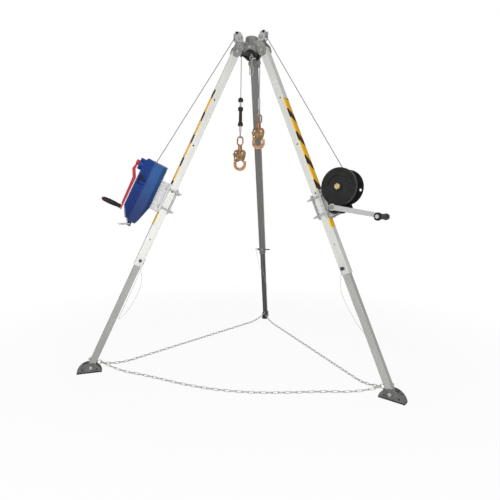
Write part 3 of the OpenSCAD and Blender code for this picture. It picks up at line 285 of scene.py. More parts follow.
def sheave_arc(leg, first):
    """The cable over the sheave: a circle of the pitch radius, from the touching angle to half a turn."""
    turn = np.linspace(first, np.pi, ARC_STEPS)
    rounds = np.stack([np.cos(turn), 0 * turn, np.sin(turn)], axis=1) * SHEAVE_PITCH
    return on_arm(leg, rounds + [sheave_flat[leg][0], 0, sheave_flat[leg][1]])


def cable_piece(name, path):
    """A round bar of the cable's diameter along a path."""
    return make_piece(name, bar_along(path, CABLE / 2, CABLE_SIDES))


cables = []
for device, leg, touch in (("winch", "right", winch_touch), ("block", "left", block_touch)):
    arc = sheave_arc(leg, touch)
    slope = cable_start[device] + np.linspace(0, 1, SLOPE_STEPS)[:-1, None] * (arc[0] - cable_start[device])
    slanted_path = np.vstack([slope, arc])
    slanted = cable_piece(f"{device}_cable_slanted", slanted_path)
    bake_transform(slanted)
    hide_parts(f"{device}_cable")

    low = np.array([arc[-1][0], arc[-1][1], CABLE_END_TOP[device]])
    hanging_path = arc[-1] + np.linspace(0, 1, HANGING_STEPS)[:, None] * (low - arc[-1])
    hanging = cable_piece(f"{device}_cable_hanging", hanging_path)
    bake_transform(hanging)
    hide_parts(f"{device}_cable")
    cables += [slanted, hanging]
    print(f"{device} cable: {route_length(slanted_path):.3f} m slanted, "
          f"{route_length(hanging_path):.3f} m hanging")

# %% [markdown]
# ## The pin lanyards
# Each lock pin is tied to its leg by a thin coated wire so that it can't be lost. It hangs from the pin's
# ring in a long loop below the joint and comes back up behind the leg to a screw. A cloth or rope simulation
# could let it fall, but the route in the photograph is known, so it is a list of given places, made smooth
# with a Catmull-Rom curve, with a crimped sleeve at each end.

# %% Pin lanyards
LANYARD = 0.002
LANYARD_TOP = 1.454
LANYARD_STEPS = 10
LANYARD_SIDES = 8
LANYARD_ROUTE = [
    [0.000, 0.049, 0.000],
    [-0.016, 0.049, 0.026],
    [-0.040, 0.039, 0.060],
    [-0.062, 0.023, 0.110],
    [-0.072, -0.001, 0.170],
    [-0.074, -0.021, 0.230],
    [-0.066, -0.031, 0.300],
    [-0.050, -0.035, 0.350],
    [-0.038, -0.031, 0.372],
    [-0.033, -0.021, 0.350],
    [-0.032, -0.009, 0.250],
    [-0.031, -0.001, 0.110],
    [-0.029, -0.001, 0.020],
    [-0.029, -0.001, -0.024],
]
PIN_SIDE = {"left": 1, "right": -1, "rear": 1}
SLEEVE_RUN = (0.012, 0.030)
SLEEVE_RADIUS = LANYARD * 0.95
SLEEVE_SIDES = 10
SCREW_SEAT = -0.0243
SCREW_RISE = 0.026
SCREW_PROFILE = [[0, 0.0070], [0.0012, 0.0070], [0.0013, 0.0050], [0.0042, 0.0050],
                 [0.0058, 0.0042], [0.0062, 0.0020]]


def turned_part(centre, axis, profile, sides=20):
    """A lathe shape: each (height, radius) of the profile is a ring at that height along the axis."""
    profile = np.asarray(profile, float)
    axis = np.asarray(axis, float) / np.linalg.norm(axis)
    return bar_along(np.asarray(centre) + profile[:, :1] * axis, profile[:, 1], sides, direction=axis)


def sleeve_at_start(path):
    """A thicker bar on the part of a path whose run from the path's start lies within the sleeve's run."""
    run = run_along(path)
    stretch = path[(run >= SLEEVE_RUN[0]) & (run <= SLEEVE_RUN[1])]
    return bar_along(stretch, SLEEVE_RADIUS, SLEEVE_SIDES)


lanyards = []
lanyard_fittings = []
for leg, side in PIN_SIDE.items():
    places = np.array(LANYARD_ROUTE) * [1, side, 1] + [0, 0, LANYARD_TOP]
    path = on_leg(leg, smooth_route(places, LANYARD_STEPS))
    lanyard = make_piece(f"{leg}_lanyard_wire", bar_along(path, LANYARD / 2, LANYARD_SIDES))
    crimp = make_piece(f"{leg}_lanyard_sleeve_top", sleeve_at_start(path))
    crimp_end = make_piece(f"{leg}_lanyard_sleeve_end", sleeve_at_start(path[::-1]))
    for piece in (lanyard, crimp):
        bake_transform(piece)
    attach(crimp_end, f"{leg}_upper")
    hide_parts(f"{leg}_lanyard")

    outward = on_leg(leg, [1, 0, 0]) - on_leg(leg, [0, 0, 0])
    seat = on_leg(leg, [SCREW_SEAT, 0, LANYARD_TOP - SCREW_RISE])
    screw = make_piece(f"{leg}_lanyard_screw", turned_part(seat, -outward, SCREW_PROFILE))
    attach(screw, f"{leg}_upper")
    lanyards.append(lanyard)
    lanyard_fittings += [screw, crimp, crimp_end]
    print(f"{leg} lanyard: {route_length(path):.3f} m")

# %% [markdown]
# ## The floor chains
# Three lengths of chain keep the feet from sliding apart. A chain's line falls from the leg's ring to the
# floor in a curve and, at the front, bows outward. An array modifier along a curve could repeat a link, but
# it would stretch the links, so each one is placed by itself, at equal steps of length along the line.

# %% The line of a chain
RING_RADIUS = 0.012
EYE_UP = 0.040
EYE_OUT = -0.036
ATTACH_TURN = math.radians(194)
ATTACH_APART = math.radians(16)
LINK_WIDTH = 0.015
FLOOR_GAP = 0.002
CHAIN_FLOOR = LINK_WIDTH / 2 + FLOOR_GAP
CHAIN_FALL = 0.220


def ring_point(leg, side):
    """Where a chain meets the leg's ring: on its lower inner side, one chain above the other."""
    centre = in_leg_plane(leg, on_leg(leg, [EYE_OUT, 0, leg_length - EYE_UP]))
    turn = ATTACH_TURN - ATTACH_APART * side
    spot = centre + RING_RADIUS * np.array([math.cos(turn), math.sin(turn)])
    return on_arm(leg, [spot[0], 0, spot[1]])


def chain_line(first, last, bow, share):
    """Points along a chain: the straight line, pushed outward by bow times (1 - cos of a full turn) / 2,
    and falling to the floor with the square of the distance left to the end of its fall."""
    straight = first + (last - first) * share[:, None]
    span = np.linalg.norm((last - first)[:2])
    away = (straight - middle) * [1, 1, 0]
    away = away / np.linalg.norm(away, axis=1, keepdims=True)
    start_rise = np.maximum(0, 1 - share * span / CHAIN_FALL) ** 2 * (first[2] - CHAIN_FLOOR)
    end_rise = np.maximum(0, 1 - (1 - share) * span / CHAIN_FALL) ** 2 * (last[2] - CHAIN_FLOOR)
    line = straight + away * (bow * 0.5 * (1 - np.cos(2 * np.pi * share)))[:, None]
    line[:, 2] = CHAIN_FLOOR + start_rise + end_rise
    return line


print("chains start at", np.round(ring_point("left", 1), 3), "on the left leg's ring")

# %% [markdown]
# ### Links
# A link is a closed bar of round wire, two half circles and two straight sides. Links lie flat and stand on
# edge in turn, so that each passes through the next. There are about 150 of them, so each has few faces. A
# chain is cut into four stretches, because a stretch can bend across one joint only.

# %% Links and chains
CHAIN_WIRE = 0.004
CHAIN_PITCH = 0.032
CHAIN_BOW = 0.128
LINK_SLACK = 0.0006
LINK_STEPS = 6
LINK_SIDES = 6
LINE_STEPS = 401
RING_WIRE = 0.004
RING_PLAY = 0.0011
RING_REACH = RING_WIRE / 2 + RING_PLAY
CHAIN_RUNS = [
    ("front_chain", "left", "right", CHAIN_BOW),
    ("right_chain", "right", "rear", 0.0),
    ("left_chain", "rear", "left", 0.0),
]


def link_loop(straight):
    """Centre line of one link, lying flat: two half circles joined by two straight sides."""
    turn = np.linspace(-np.pi / 2, np.pi / 2, LINK_STEPS)
    bend = (LINK_WIDTH - CHAIN_WIRE) / 2
    half = np.stack([straight / 2 + bend * np.cos(turn), bend * np.sin(turn), 0 * turn], axis=1)
    return np.vstack([half, half * [-1, -1, 1]])


def chain_shape(stops, straight, upright_first):
    """Links on the steps between stops. A link's points are its centre plus its own length, width and
    height times the step's direction, the level side of it and the lift square to both. Every second
    link stands on edge."""
    points, faces, uv = bar_along(link_loop(straight), CHAIN_WIRE / 2, LINK_SIDES, closed=True)
    on_edge = points[:, [0, 2, 1]] * [1, -1, 1]
    step = np.diff(stops, axis=0)
    ahead = step / np.linalg.norm(step, axis=1, keepdims=True)
    side = np.cross(UPRIGHT, ahead)
    side = side / np.linalg.norm(side, axis=1, keepdims=True)
    axes = np.stack([ahead, side, np.cross(ahead, side)], axis=1)
    odd = (np.arange(len(step)) + upright_first) % 2 == 1
    local = np.where(odd[:, None, None], on_edge[None], points[None])
    placed = (stops[:-1] + stops[1:])[:, None] / 2 + local @ axes
    numbers = np.array(faces)[None] + (np.arange(len(step)) * len(points))[:, None, None]
    return placed.reshape(-1, 3), numbers.reshape(-1, 4).tolist(), np.tile(uv, (len(step), 1))


chains = []
for name, first_leg, last_leg, bow in CHAIN_RUNS:
    first, last = ring_point(first_leg, 1), ring_point(last_leg, -1)
    aim = (last - first) * [1, 1, 0]
    aim = aim / np.linalg.norm(aim)
    first, last = first - aim * RING_REACH, last + aim * RING_REACH
    share = np.linspace(0, 1, LINE_STEPS)
    run = run_along(chain_line(first, last, bow, share))
    count = 2 * int((run[-1] / CHAIN_PITCH - 1) // 2) + 1
    stops = chain_line(first, last, bow, np.interp(np.linspace(0, run[-1], count + 1), run, share))
    straight = run[-1] / count + LINK_SLACK + 2 * CHAIN_WIRE - LINK_WIDTH
    cuts = [0, count // 4, count // 2, count - count // 4, count]
    spans = [(f"{first_leg}_lower", f"{first_leg}_upper"), (f"{first_leg}_upper", "head"),
             ("head", f"{last_leg}_upper"), (f"{last_leg}_upper", f"{last_leg}_lower")]
    for k, (before, after) in enumerate(spans):
        part = stops[cuts[k] : cuts[k + 1] + 1]
        chain = make_piece(f"{name}_stretch_{k + 1}", chain_shape(part, straight, cuts[k]))
        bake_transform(chain)
        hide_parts(name)
        chains.append(chain)
    print(f"{name}: {count} links over {run[-1]:.3f} m")

# %% [markdown]
# ## The winding and the cable spring
# The drum's cable lies in one even layer of loops, a helix whose radius is the drum's. The small spring
# above the block's cable sleeve is a helix too. A screw modifier could turn them, but a formula ends the
# winding exactly where the slanted cable leaves the drum. Both are finer than the frame's own.

# %% Winding
WINDING_LOOPS = 11
WINDING_PITCH = 0.0054
LOOP_STEPS = 64

turns = np.linspace(-WINDING_LOOPS, 0, WINDING_LOOPS * LOOP_STEPS + 1)
angle = winch_touch + 2 * np.pi * turns
helix = np.stack([drum_flat[0] + WINDING_RADIUS * np.cos(angle), WINDING_SIDE + WINDING_PITCH * turns,
                  drum_flat[1] + WINDING_RADIUS * np.sin(angle)], axis=1)
winding = cable_piece("winch_cable_winding", on_arm("right", helix))
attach(winding, "winch_drum")
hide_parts("winch_winding")
print(f"winding: {WINDING_LOOPS} loops, {route_length(helix):.2f} m of cable")

# %% Cable spring
SPRING_CURLS = 5
SPRING_WIRE = 0.0018
SPRING_RADIUS = 0.0064
SPRING_STEPS = 24
SPRING_SIDES = 10

spring_low, spring_high = (np.array(corner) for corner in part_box("block_cable_spring"))
spring_foot = on_arm("left", [sheave_flat["left"][0] - SHEAVE_PITCH, 0, spring_low[2] + SPRING_WIRE / 2])
rise = np.linspace(0, 1, SPRING_CURLS * SPRING_STEPS + 1)
curl = 2 * np.pi * SPRING_CURLS * rise
spring_path = spring_foot + np.stack([SPRING_RADIUS * np.cos(curl), SPRING_RADIUS * np.sin(curl),
                                      rise * (spring_high[2] - spring_low[2] - SPRING_WIRE)], axis=1)
spring_shape = bar_along(spring_path, SPRING_WIRE / 2, SPRING_SIDES)
spring = make_piece("block_cable_coil_spring", spring_shape)
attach(spring, "block_line")
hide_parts("block_cable_spring")
print(f"spring: {SPRING_CURLS} curls, {spring_high[2] - spring_low[2]:.3f} m tall")

# %% [markdown]
# ## The warning tape
# A strip of yellow and black tape runs down the outer face of each upper leg, and stops where a clamp
# covers the leg. It could be painted on the tube in the finish, but real tape is wider than the face and
# folded round both corners. One line across the fold, carried down the leg a fifth of a millimetre above
# the tube, makes the whole strip, and a Solidify modifier gives it its thickness.

# %% Warning tape
TUBE_HALF = 0.024
TUBE_FLAT = 0.0222
TAPE_FLAP = 0.0175
TAPE_LIFT = 0.0002
TAPE_SHEET = TAPE_LIFT * 0.8
TAPE_STEP = 0.02
TAPE_FACE = TUBE_HALF + TAPE_LIFT
TAPE_FOLD = np.array([
    [TAPE_FLAP, -TAPE_FACE],
    [TUBE_FLAT, -TAPE_FACE],
    [TAPE_FACE, -TUBE_FLAT],
    [TAPE_FACE, 0.0],
    [TAPE_FACE, TUBE_FLAT],
    [TUBE_FLAT, TAPE_FACE],
    [TAPE_FLAP, TAPE_FACE],
])
TAPE_RUNS = {"rear": [(0.315, 1.195)], "left": [(0.278, 0.938), (1.127, 1.208)],
             "right": [(0.350, 0.973), (1.148, 1.200)]}


def tape_strip(leg, top, bottom):
    """A grid: a column for each point (outward, across) of the fold, and a row for each step down the leg."""
    rows, columns = max(2, int((bottom - top) / TAPE_STEP)), len(TAPE_FOLD)
    down = np.linspace(top, bottom, rows)
    grid = np.concatenate([np.tile(TAPE_FOLD, (rows, 1)), np.repeat(down, columns)[:, None]], axis=1)
    i, j = np.meshgrid(np.arange(rows - 1), np.arange(columns - 1), indexing="ij")
    corner = (i * columns + j).ravel()
    faces = np.stack([corner, corner + columns, corner + columns + 1, corner + 1], axis=1)
    return on_leg(leg, grid), faces.tolist(), grid[faces][:, :, 1:].reshape(-1, 2)


tapes = []
for leg, runs in TAPE_RUNS.items():
    for k, (top, bottom) in enumerate(runs):
        strip = tape_strip(leg, top, bottom)
        tape = make_piece(f"{leg}_warning_tape_{k + 1}", strip, smooth=False)
        solid = tape.modifiers.new("tape_thickness", "SOLIDIFY")
        solid.thickness = TAPE_SHEET
        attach(tape, f"{leg}_upper")
        tapes.append(tape)
print(f"warning tape: {len(tapes)} strips")

# %% [markdown]
# ## The lock plates of the hooks
# A double-locking snap hook has two pressed cheeks riveted over its throat. They hold the lock lever and
# keep the gate from being bent sideways. Each cheek is one outline given a thickness. Its corners could be
# bevelled afterwards, but cutting them in the outline itself keeps the plate light. Each rivet is a small
# turned dome.

# %% Lock plates and rivets
HOOK_DROP = 0.140
HOOK_HALF = 0.008
CHEEK_SHEET = (0.0003, 0.0024)
CHEEK_OUTLINE = np.array([[-0.037, 0.064], [-0.020, 0.056], [0.004, 0.070], [0.023, 0.062], [0.032, 0.084],
                          [0.037, 0.106], [0.036, 0.124], [0.028, 0.135], [-0.029, 0.135], [-0.038, 0.125],
                          [-0.040, 0.100]])
RIVETS = [[-0.025, 0.116], [0.017, 0.114], [-0.027, 0.080]]
RIVET_PROFILE = [[0, 0.0050], [0.0010, 0.0048], [0.0018, 0.0036], [0.0022, 0.0015]]
RIVET_SUNK = 0.0002
CORNER_CUT = 0.25


def hook_foot(device):
    """Lowest point of a hook: the place of its swivel, less the hook's drop."""
    return np.array(joints[f"{device}_hook_swivel"]["pos_m"]) - [0, 0, HOOK_DROP]


def rounded(outline):
    """Cuts the corners: every side is kept only from its first quarter to its last."""
    after = np.roll(outline, -1, axis=0)
    first = (1 - CORNER_CUT) * outline + CORNER_CUT * after
    last = CORNER_CUT * outline + (1 - CORNER_CUT) * after
    return np.stack([first, last], axis=1).reshape(-1, 2)


def plate(outline, low, high):
    """An outline in the upright plane, made solid between two depths: two ends and a wall around them."""
    count = len(outline)
    points = np.vstack([np.insert(outline, 1, depth, axis=1) for depth in (low, high)])
    near = np.arange(count)
    walls = np.stack([near, near + count, np.roll(near, -1) + count, np.roll(near, -1)], axis=1)
    faces = [near.tolist(), (near[::-1] + count).tolist()] + walls.tolist()
    return points, faces, np.zeros((6 * count, 2))


hook_cheeks = []
hook_rivets = []
for device in ("winch", "block"):
    cheeks = []
    domes = []
    for side in (-1, 1):
        depths = sorted(side * (HOOK_HALF + depth) for depth in CHEEK_SHEET)
        cheeks.append(plate(rounded(rounded(CHEEK_OUTLINE)), *depths))
        for x, z in RIVETS:
            seat = [x, side * (HOOK_HALF + CHEEK_SHEET[1] - RIVET_SUNK), z]
            domes.append(turned_part(seat, [0, side, 0], RIVET_PROFILE))
    for name, shapes, pieces in (("cheeks", cheeks, hook_cheeks), ("rivets", domes, hook_rivets)):
        points, faces, uv = join_shapes(shapes)
        shape = (points + hook_foot(device), faces, uv)
        piece = make_piece(f"{device}_hook_{name}", shape, smooth=name == "rivets")
        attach(piece, f"{device}_hook")
        pieces.append(piece)
print(f"hooks: {len(hook_cheeks)} pairs of cheeks, {len(RIVETS) * 4} rivets")

# %% [markdown]
# ## The rims of the cable sleeve
# The brown sleeve on the block's cable has a thick rim at each end, and the stopper above it is a broad
# disc. A cylinder with a bevel would do, but a profile turned about the cable, like a part from a lathe,
# gives the round edge at once. The rims sit round the frame's own sleeve.

# %% Sleeve rims
RIM_RADIUS = 0.0165
RIM_ROUND = 0.003
RIM_STEPS = 5
RIM_SIDES = 32
RIM_SPANS = [(0.287, 0.308), (0.384, 0.4065), (0.4405, 0.461)]


def rim(low, high):
    """A disc between two heights. Its edge is a quarter circle: the height moves by (1 - cos) and the radius
    by (sin - 1) of the angle, times the rounding."""
    corner = np.linspace(0, np.pi / 2, RIM_STEPS)
    edge = RIM_ROUND * np.stack([1 - np.cos(corner), np.sin(corner) - 1], axis=1)
    profile = np.vstack([[low, RIM_RADIUS] + edge, [high, RIM_RADIUS] + edge[::-1] * [-1, 1]])
    return turned_part(hook_foot("block"), UPRIGHT, profile, RIM_SIDES)


rim_shapes = [rim(low, high) for low, high in RIM_SPANS]
rims = make_piece("block_cable_sleeve_rims", join_shapes(rim_shapes))
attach(rims, "block_line")
print(f"cable sleeve: {len(rim_shapes)} rims")

# %% [markdown]
# ## The channel of the block's crank
# The block's crank is pressed from steel strip with both long edges folded outward, which makes it a stiff
# channel. The frame has the web. The two folded edges could be extruded by hand; here they are thin plates
# along the web, cut to the joggled line of the arm, so that they follow it exactly.

# %% Crank channel
CRANK_FACE = 0.220
CRANK_TOP = 0.908
CRANK_REACH = 0.281
CRANK_SIDE = 0.020
ARM_RAISED = 0.0368
ARM_LOWERED = 0.0138
ARM_END = 0.019
JOGGLE = (0.044, 0.092)
CHANNEL_HALF = 0.012
CHANNEL_SHEET = 0.0025
CHANNEL_DEPTH = np.array([0.003, 0.010, 0.010, 0.005])
CHANNEL_LINE = np.array([CRANK_FACE, CRANK_TOP]) + [
    [ARM_RAISED, ARM_END],
    [ARM_RAISED, JOGGLE[0]],
    [ARM_LOWERED, JOGGLE[1]],
    [ARM_LOWERED, CRANK_REACH - ARM_END],
]


def folded_edge(side):
    """A plate from the arm's line to that line moved out by the channel's depth, as thick as the sheet."""
    inner = np.insert(CHANNEL_LINE, 1, 0.0, axis=1)
    outer = inner + CHANNEL_DEPTH[:, None] * [1, 0, 0]
    sheets = [CRANK_SIDE + side * CHANNEL_HALF, CRANK_SIDE + side * (CHANNEL_HALF - CHANNEL_SHEET)]
    points = np.vstack([line + [0, across, 0] for across in sheets for line in (inner, outer)])
    count = len(CHANNEL_LINE)
    outline = np.concatenate([np.arange(count), np.arange(2 * count - 1, count - 1, -1)])
    after = np.roll(outline, -1)
    walls = np.stack([outline, after, after + 2 * count, outline + 2 * count], axis=1)
    faces = [outline[::-1].tolist(), (outline + 2 * count).tolist()] + walls.tolist()
    if side < 0:
        faces = [face[::-1] for face in faces]
    corners = sum(len(face) for face in faces)
    return on_leg("left", points), faces, np.zeros((corners, 2))


folded_edges = join_shapes([folded_edge(-1), folded_edge(1)])
channel = make_piece("block_crank_channel", folded_edges, smooth=False)
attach(channel, "block_crank")
print("crank channel: 2 folded edges")

# %% [markdown]
# ## Finishes
# A finish here is a Principled shader whose colour, roughness and bump come from noise in the object's own
# space. Painted image textures would need a UV map on every node; noise needs none and has no seams. The
# helpers below lay the nodes that the finishes share. Values that are the same all over sit on the shader.

# %% Nodes and links
def new_finish(name, metallic, roughness, specular=0.5):
    """A material with its Principled shader, and the even values set on the shader."""
    material = bpy.data.materials.new(name)
    material.use_nodes = True
    shader = material.node_tree.nodes["Principled BSDF"]
    shader.inputs["Metallic"].default_value = metallic
    shader.inputs["Roughness"].default_value = roughness
    shader.inputs["Specular IOR Level"].default_value = specular
    return material, shader


def add_node(owner, kind, **values):
    """A node of that kind in a material or a sky, with its settings and its inputs' plain values."""
    node = owner.node_tree.nodes.new(kind)
    for key, value in values.items():
        if key in node.inputs:
            node.inputs[key].default_value = value
        else:
            setattr(node, key, value)
    return node


def wire_up(owner, start, end):
    """A link from an output to an input."""
    owner.node_tree.links.new(start, end)


def feed(owner, socket, value):
    """Gives an input its value: a link where the value is a socket, or else the plain value."""
    if hasattr(value, "is_linked"):
        wire_up(owner, value, socket)
    else:
        socket.default_value = value


def number_step(owner, operation, *values):
    """A Math node on sockets or plain numbers."""
    node = add_node(owner, "ShaderNodeMath", operation=operation)
    for socket, value in zip(node.inputs, values):
        feed(owner, socket, value)
    return node.outputs["Value"]


def vector_step(owner, operation, *values):
    """A Vector Math node on sockets or plain vectors; a length or a dot product comes out as a number."""
    node = add_node(owner, "ShaderNodeVectorMath", operation=operation)
    for socket, value in zip(node.inputs, values):
        feed(owner, socket, value)
    return node.outputs["Value" if operation in ("LENGTH", "DOT_PRODUCT") else "Vector"]


# %% [markdown]
# ### Places, noise and colour
# Metal that was drawn or brushed has its noise stretched along the work. So a place is first turned into
# the leg's own directions and then divided by a stretch, before the noise is read there.

# %% Places, noise and colour
def local_place(material, leg=None, stretch=(1.0, 1.0, 1.0)):
    """Object coordinates, turned into a leg's own directions where one is named, divided by the stretch."""
    place = add_node(material, "ShaderNodeTexCoord")
    turned = add_node(material, "ShaderNodeMapping", vector_type="TEXTURE")
    if leg is not None:
        turned.inputs["Location"].default_value = hinge_of[leg]
        turned.inputs["Rotation"].default_value = (0.0, -leg_tilt, LEG_TURN[leg])
    turned.inputs["Scale"].default_value = stretch
    wire_up(material, place.outputs["Object"], turned.inputs["Vector"])
    return turned.outputs["Vector"]


def split(material, place):
    """The X, Y and Z of a place, as three outputs."""
    parts = add_node(material, "ShaderNodeSeparateXYZ")
    wire_up(material, place, parts.inputs["Vector"])
    return parts.outputs


def grain(material, place, scale, detail=4.0, rough=0.55):
    """Noise from 0 to 1 at a place. A larger scale makes smaller patches, and detail breaks them up."""
    noise = add_node(material, "ShaderNodeTexNoise", Scale=scale, Detail=detail, Roughness=rough)
    wire_up(material, place, noise.inputs["Vector"])
    return noise.outputs["Fac"]


def shades(material, factor, *stops):
    """A colour ramp through (position, colour) stops."""
    ramp = add_node(material, "ShaderNodeValToRGB")
    while len(ramp.color_ramp.elements) < len(stops):
        ramp.color_ramp.elements.new(0.5)
    for element, (position, colour) in zip(ramp.color_ramp.elements, stops):
        element.position = position
        element.color = (*colour, 1.0)
    wire_up(material, factor, ramp.inputs["Fac"])
    return ramp.outputs["Color"]


def spread(owner, value, low, high, start=0.0, end=1.0, curve="LINEAR"):
    """Moves a value from the range start to end into the range low to high, straight or in another curve."""
    reach = add_node(owner, "ShaderNodeMapRange", interpolation_type=curve)
    for socket, number in (("From Min", start), ("From Max", end), ("To Min", low), ("To Max", high)):
        reach.inputs[socket].default_value = number
    wire_up(owner, value, reach.inputs["Value"])
    return reach.outputs["Result"]


def fade(material, value, start, end):
    """One up to the start, falling to zero at the end, in an S-shaped curve."""
    return spread(material, value, 1.0, 0.0, start, end, "SMOOTHSTEP")


def blend_colours(material, factor, first, second, mode="MIX"):
    """Two colours mixed by a factor, or multiplied; each is a socket or a plain value."""
    mix = add_node(material, "ShaderNodeMix", data_type="RGBA", blend_type=mode)
    feed(material, mix.inputs["Factor"], factor)
    colours = [socket for socket in mix.inputs if socket.type == "RGBA"]
    for socket, value in zip(colours, (first, second)):
        feed(material, socket, value if hasattr(value, "is_linked") else (*value, 1.0))
    return [socket for socket in mix.outputs if socket.type == "RGBA"][0]


def raise_bumps(material, shader, height, distance, strength):
    """Tilts the surface by the slope of a height from 0 to 1, which stands for a distance."""
    bump = add_node(material, "ShaderNodeBump", Distance=distance, Strength=strength)
    wire_up(material, height, bump.inputs["Height"])
    wire_up(material, bump.outputs["Normal"], shader.inputs["Normal"])


# %% [markdown]
# ### The legs
# The upper legs are drawn aluminium, pale and satin, with faint streaks down their length. The lower legs
# slide inside them, so they are greyer and more rubbed. All three legs are the same alloy; each leg's tone is
# set to its brightness in the light, so the rear leg's far darker tubes are painted shade. The tubes are
# painted near black inside, as painted shade in the bore. A second material for the bore would need the
# node's faces sorted; here the finish finds the bore by itself, from the place on the leg.

# %% Drawn tubes
UPPER_BORE = 0.0386
LOWER_BORE = 0.031
BORE_EDGE = (0.0003, 0.0006)
BORE_PAINTED_SHADE = (0.012, 0.012, 0.011)
STREAK = (0.016, 0.016, 2.4)
PATCH = (0.06, 0.06, 0.30)
WARM_GREY = (1.0, 1.0, 0.95)
# Each leg's tone is matched to how bright it stands in the light: the rear leg's dark tone is painted shade
# on the same alloy.
LEG_TONE_AND_SHADE = {"left": (0.74, 0.36), "right": (0.68, 0.42), "rear": (0.17, 0.075)}


def grey_range(tone, share):
    """A darker and a lighter warm grey about a tone, by a share of it."""
    return [tuple(tone * (1 + step * share) * part for part in WARM_GREY) for step in (-1, 1)]


def drawn_alloy(name, leg, bore, dark, light, roughness):
    """Drawn tube, streaked outside and painted near black inside as painted shade. Inside is where the wider
    of the outward and across places on the leg is under half the bore."""
    material, shader = new_finish(name, metallic=0.12, roughness=roughness)
    sides = split(material, vector_step(material, "ABSOLUTE", local_place(material, leg)))
    wider = number_step(material, "MAXIMUM", sides["X"], sides["Y"])
    # inside: where the bore is painted near black, as painted shade.
    inside = fade(material, wider, bore / 2 + BORE_EDGE[0], bore / 2 + BORE_EDGE[1])
    streaks = grain(material, local_place(material, leg, STREAK), scale=2.0, detail=4.0, rough=0.5)
    patches = grain(material, local_place(material, leg, PATCH), scale=2.0, detail=3.0)
    colour = shades(material, patches, (0.30, dark), (0.70, light))
    streaked = shades(material, streaks, (0.35, (0.95, 0.95, 0.95)), (0.65, (1.0, 1.0, 1.0)))
    tube = blend_colours(material, 1.0, colour, streaked, "MULTIPLY")
    wire_up(material, blend_colours(material, inside, tube, BORE_PAINTED_SHADE), shader.inputs["Base Color"])
    rubbed = spread(material, streaks, roughness - 0.03, roughness + 0.05)
    wire_up(material, rubbed, shader.inputs["Roughness"])
    raise_bumps(material, shader, streaks, distance=0.0002, strength=0.08)
    return material


upper_alloy = {}
lower_alloy = {}
for leg, (upper_tone_and_shade, lower_tone_and_shade) in LEG_TONE_AND_SHADE.items():
    upper_alloy[leg] = drawn_alloy(f"{leg}_upper_alloy", leg, UPPER_BORE, *grey_range(upper_tone_and_shade, 0.05), 0.42)
    lower_alloy[leg] = drawn_alloy(f"{leg}_lower_alloy", leg, LOWER_BORE, *grey_range(lower_tone_and_shade, 0.08), 0.46)
print(f"drawn tubes: {len(upper_alloy) + len(lower_alloy)} finishes")

# %% [markdown]
# ### The head
# The head is a sand casting with a grainy, duller skin. Under its hub it is painted darker, as painted shade
# where the hub and skirt keep the light out. The shade could be drawn with a painted mask, but it follows the
# hub so closely that a radius and a height describe it.

# %% Cast head
# Painted shade under the hub: the radius and the height over which it fades out.
PAINTED_SHADE_RADIUS = (0.066, 0.080)
PAINTED_SHADE_HEIGHT = (0.010, 0.072)


def sand_casting(name, dark, light, painted_shade):
    """Cast skin with painted shade under the hub: the fade over the radius times the fade over the height."""
    material, shader = new_finish(name, metallic=0.30, roughness=0.58)
    place = local_place(material)
    sand = grain(material, place, scale=900.0, detail=3.0)
    patches = grain(material, place, scale=22.0, detail=5.0)
    from_hub = vector_step(material, "SUBTRACT", place, middle)
    radius = vector_step(material, "LENGTH", vector_step(material, "MULTIPLY", from_hub, (1.0, 1.0, 0.0)))
    height = split(material, from_hub)["Z"]
    # under: the painted shade under the hub, the radius fade times the height fade.
    under = number_step(material, "MULTIPLY", fade(material, radius, *PAINTED_SHADE_RADIUS),
                        fade(material, height, *PAINTED_SHADE_HEIGHT))
    skin = shades(material, patches, (0.30, dark), (0.72, light))
    wire_up(material, blend_colours(material, under, skin, painted_shade), shader.inputs["Base Color"])
    wire_up(material, spread(material, patches, 0.48, 0.68), shader.inputs["Roughness"])
    raise_bumps(material, shader, sand, distance=0.0006, strength=0.45)
    return material


# The third colour is the painted shade under the hub.
cast_head = sand_casting("cast_head", (0.15, 0.15, 0.14), (0.36, 0.36, 0.34), (0.022, 0.021, 0.019))
print("cast head: grease to", PAINTED_SHADE_RADIUS[1], "m from the middle")

# %% [markdown]
# ### Zinc and worn steel
# Galvanised steel shows the soft patches of its crystals, which are cells of a Voronoi pattern here.
# Sheaves, gears, pins and hooks are worn steel: a dark and a light tone in patches, and fine scratches in
# one direction that change the roughness more than the colour. One function serves each kind, with other
# tones.

# %% Zinc and steel
def zinc_coat(name, dark, light, roughness=0.38):
    """Zinc crystals between two tones, blended towards the lighter tone by cloudy noise."""
    material, shader = new_finish(name, metallic=0.35, roughness=roughness)
    crystals = add_node(material, "ShaderNodeTexVoronoi", Scale=220.0)
    wire_up(material, local_place(material), crystals.inputs["Vector"])
    clouds = grain(material, local_place(material), scale=60.0, detail=4.0)
    spangle = shades(material, crystals.outputs["Color"], (0.0, dark), (1.0, light))
    wire_up(material, blend_colours(material, clouds, spangle, light), shader.inputs["Base Color"])
    dulled = spread(material, clouds, roughness - 0.10, roughness + 0.16)
    wire_up(material, dulled, shader.inputs["Roughness"])
    raise_bumps(material, shader, clouds, distance=0.0003, strength=0.12)
    return material


def worn_steel(name, dark, light, roughness, metallic=0.4):
    """Patches of wear between two tones, and scratches that vary the roughness."""
    material, shader = new_finish(name, metallic=metallic, roughness=roughness)
    wear = grain(material, local_place(material), scale=45.0, detail=7.0, rough=0.65)
    scratches = grain(material, local_place(material, stretch=(0.004, 0.05, 0.05)), scale=2.5, detail=4.0)
    wire_up(material, shades(material, wear, (0.32, dark), (0.68, light)), shader.inputs["Base Color"])
    scratched = spread(material, scratches, roughness - 0.10, roughness + 0.15)
    wire_up(material, scratched, shader.inputs["Roughness"])
    raise_bumps(material, shader, scratches, distance=0.0003, strength=0.25)
    return material


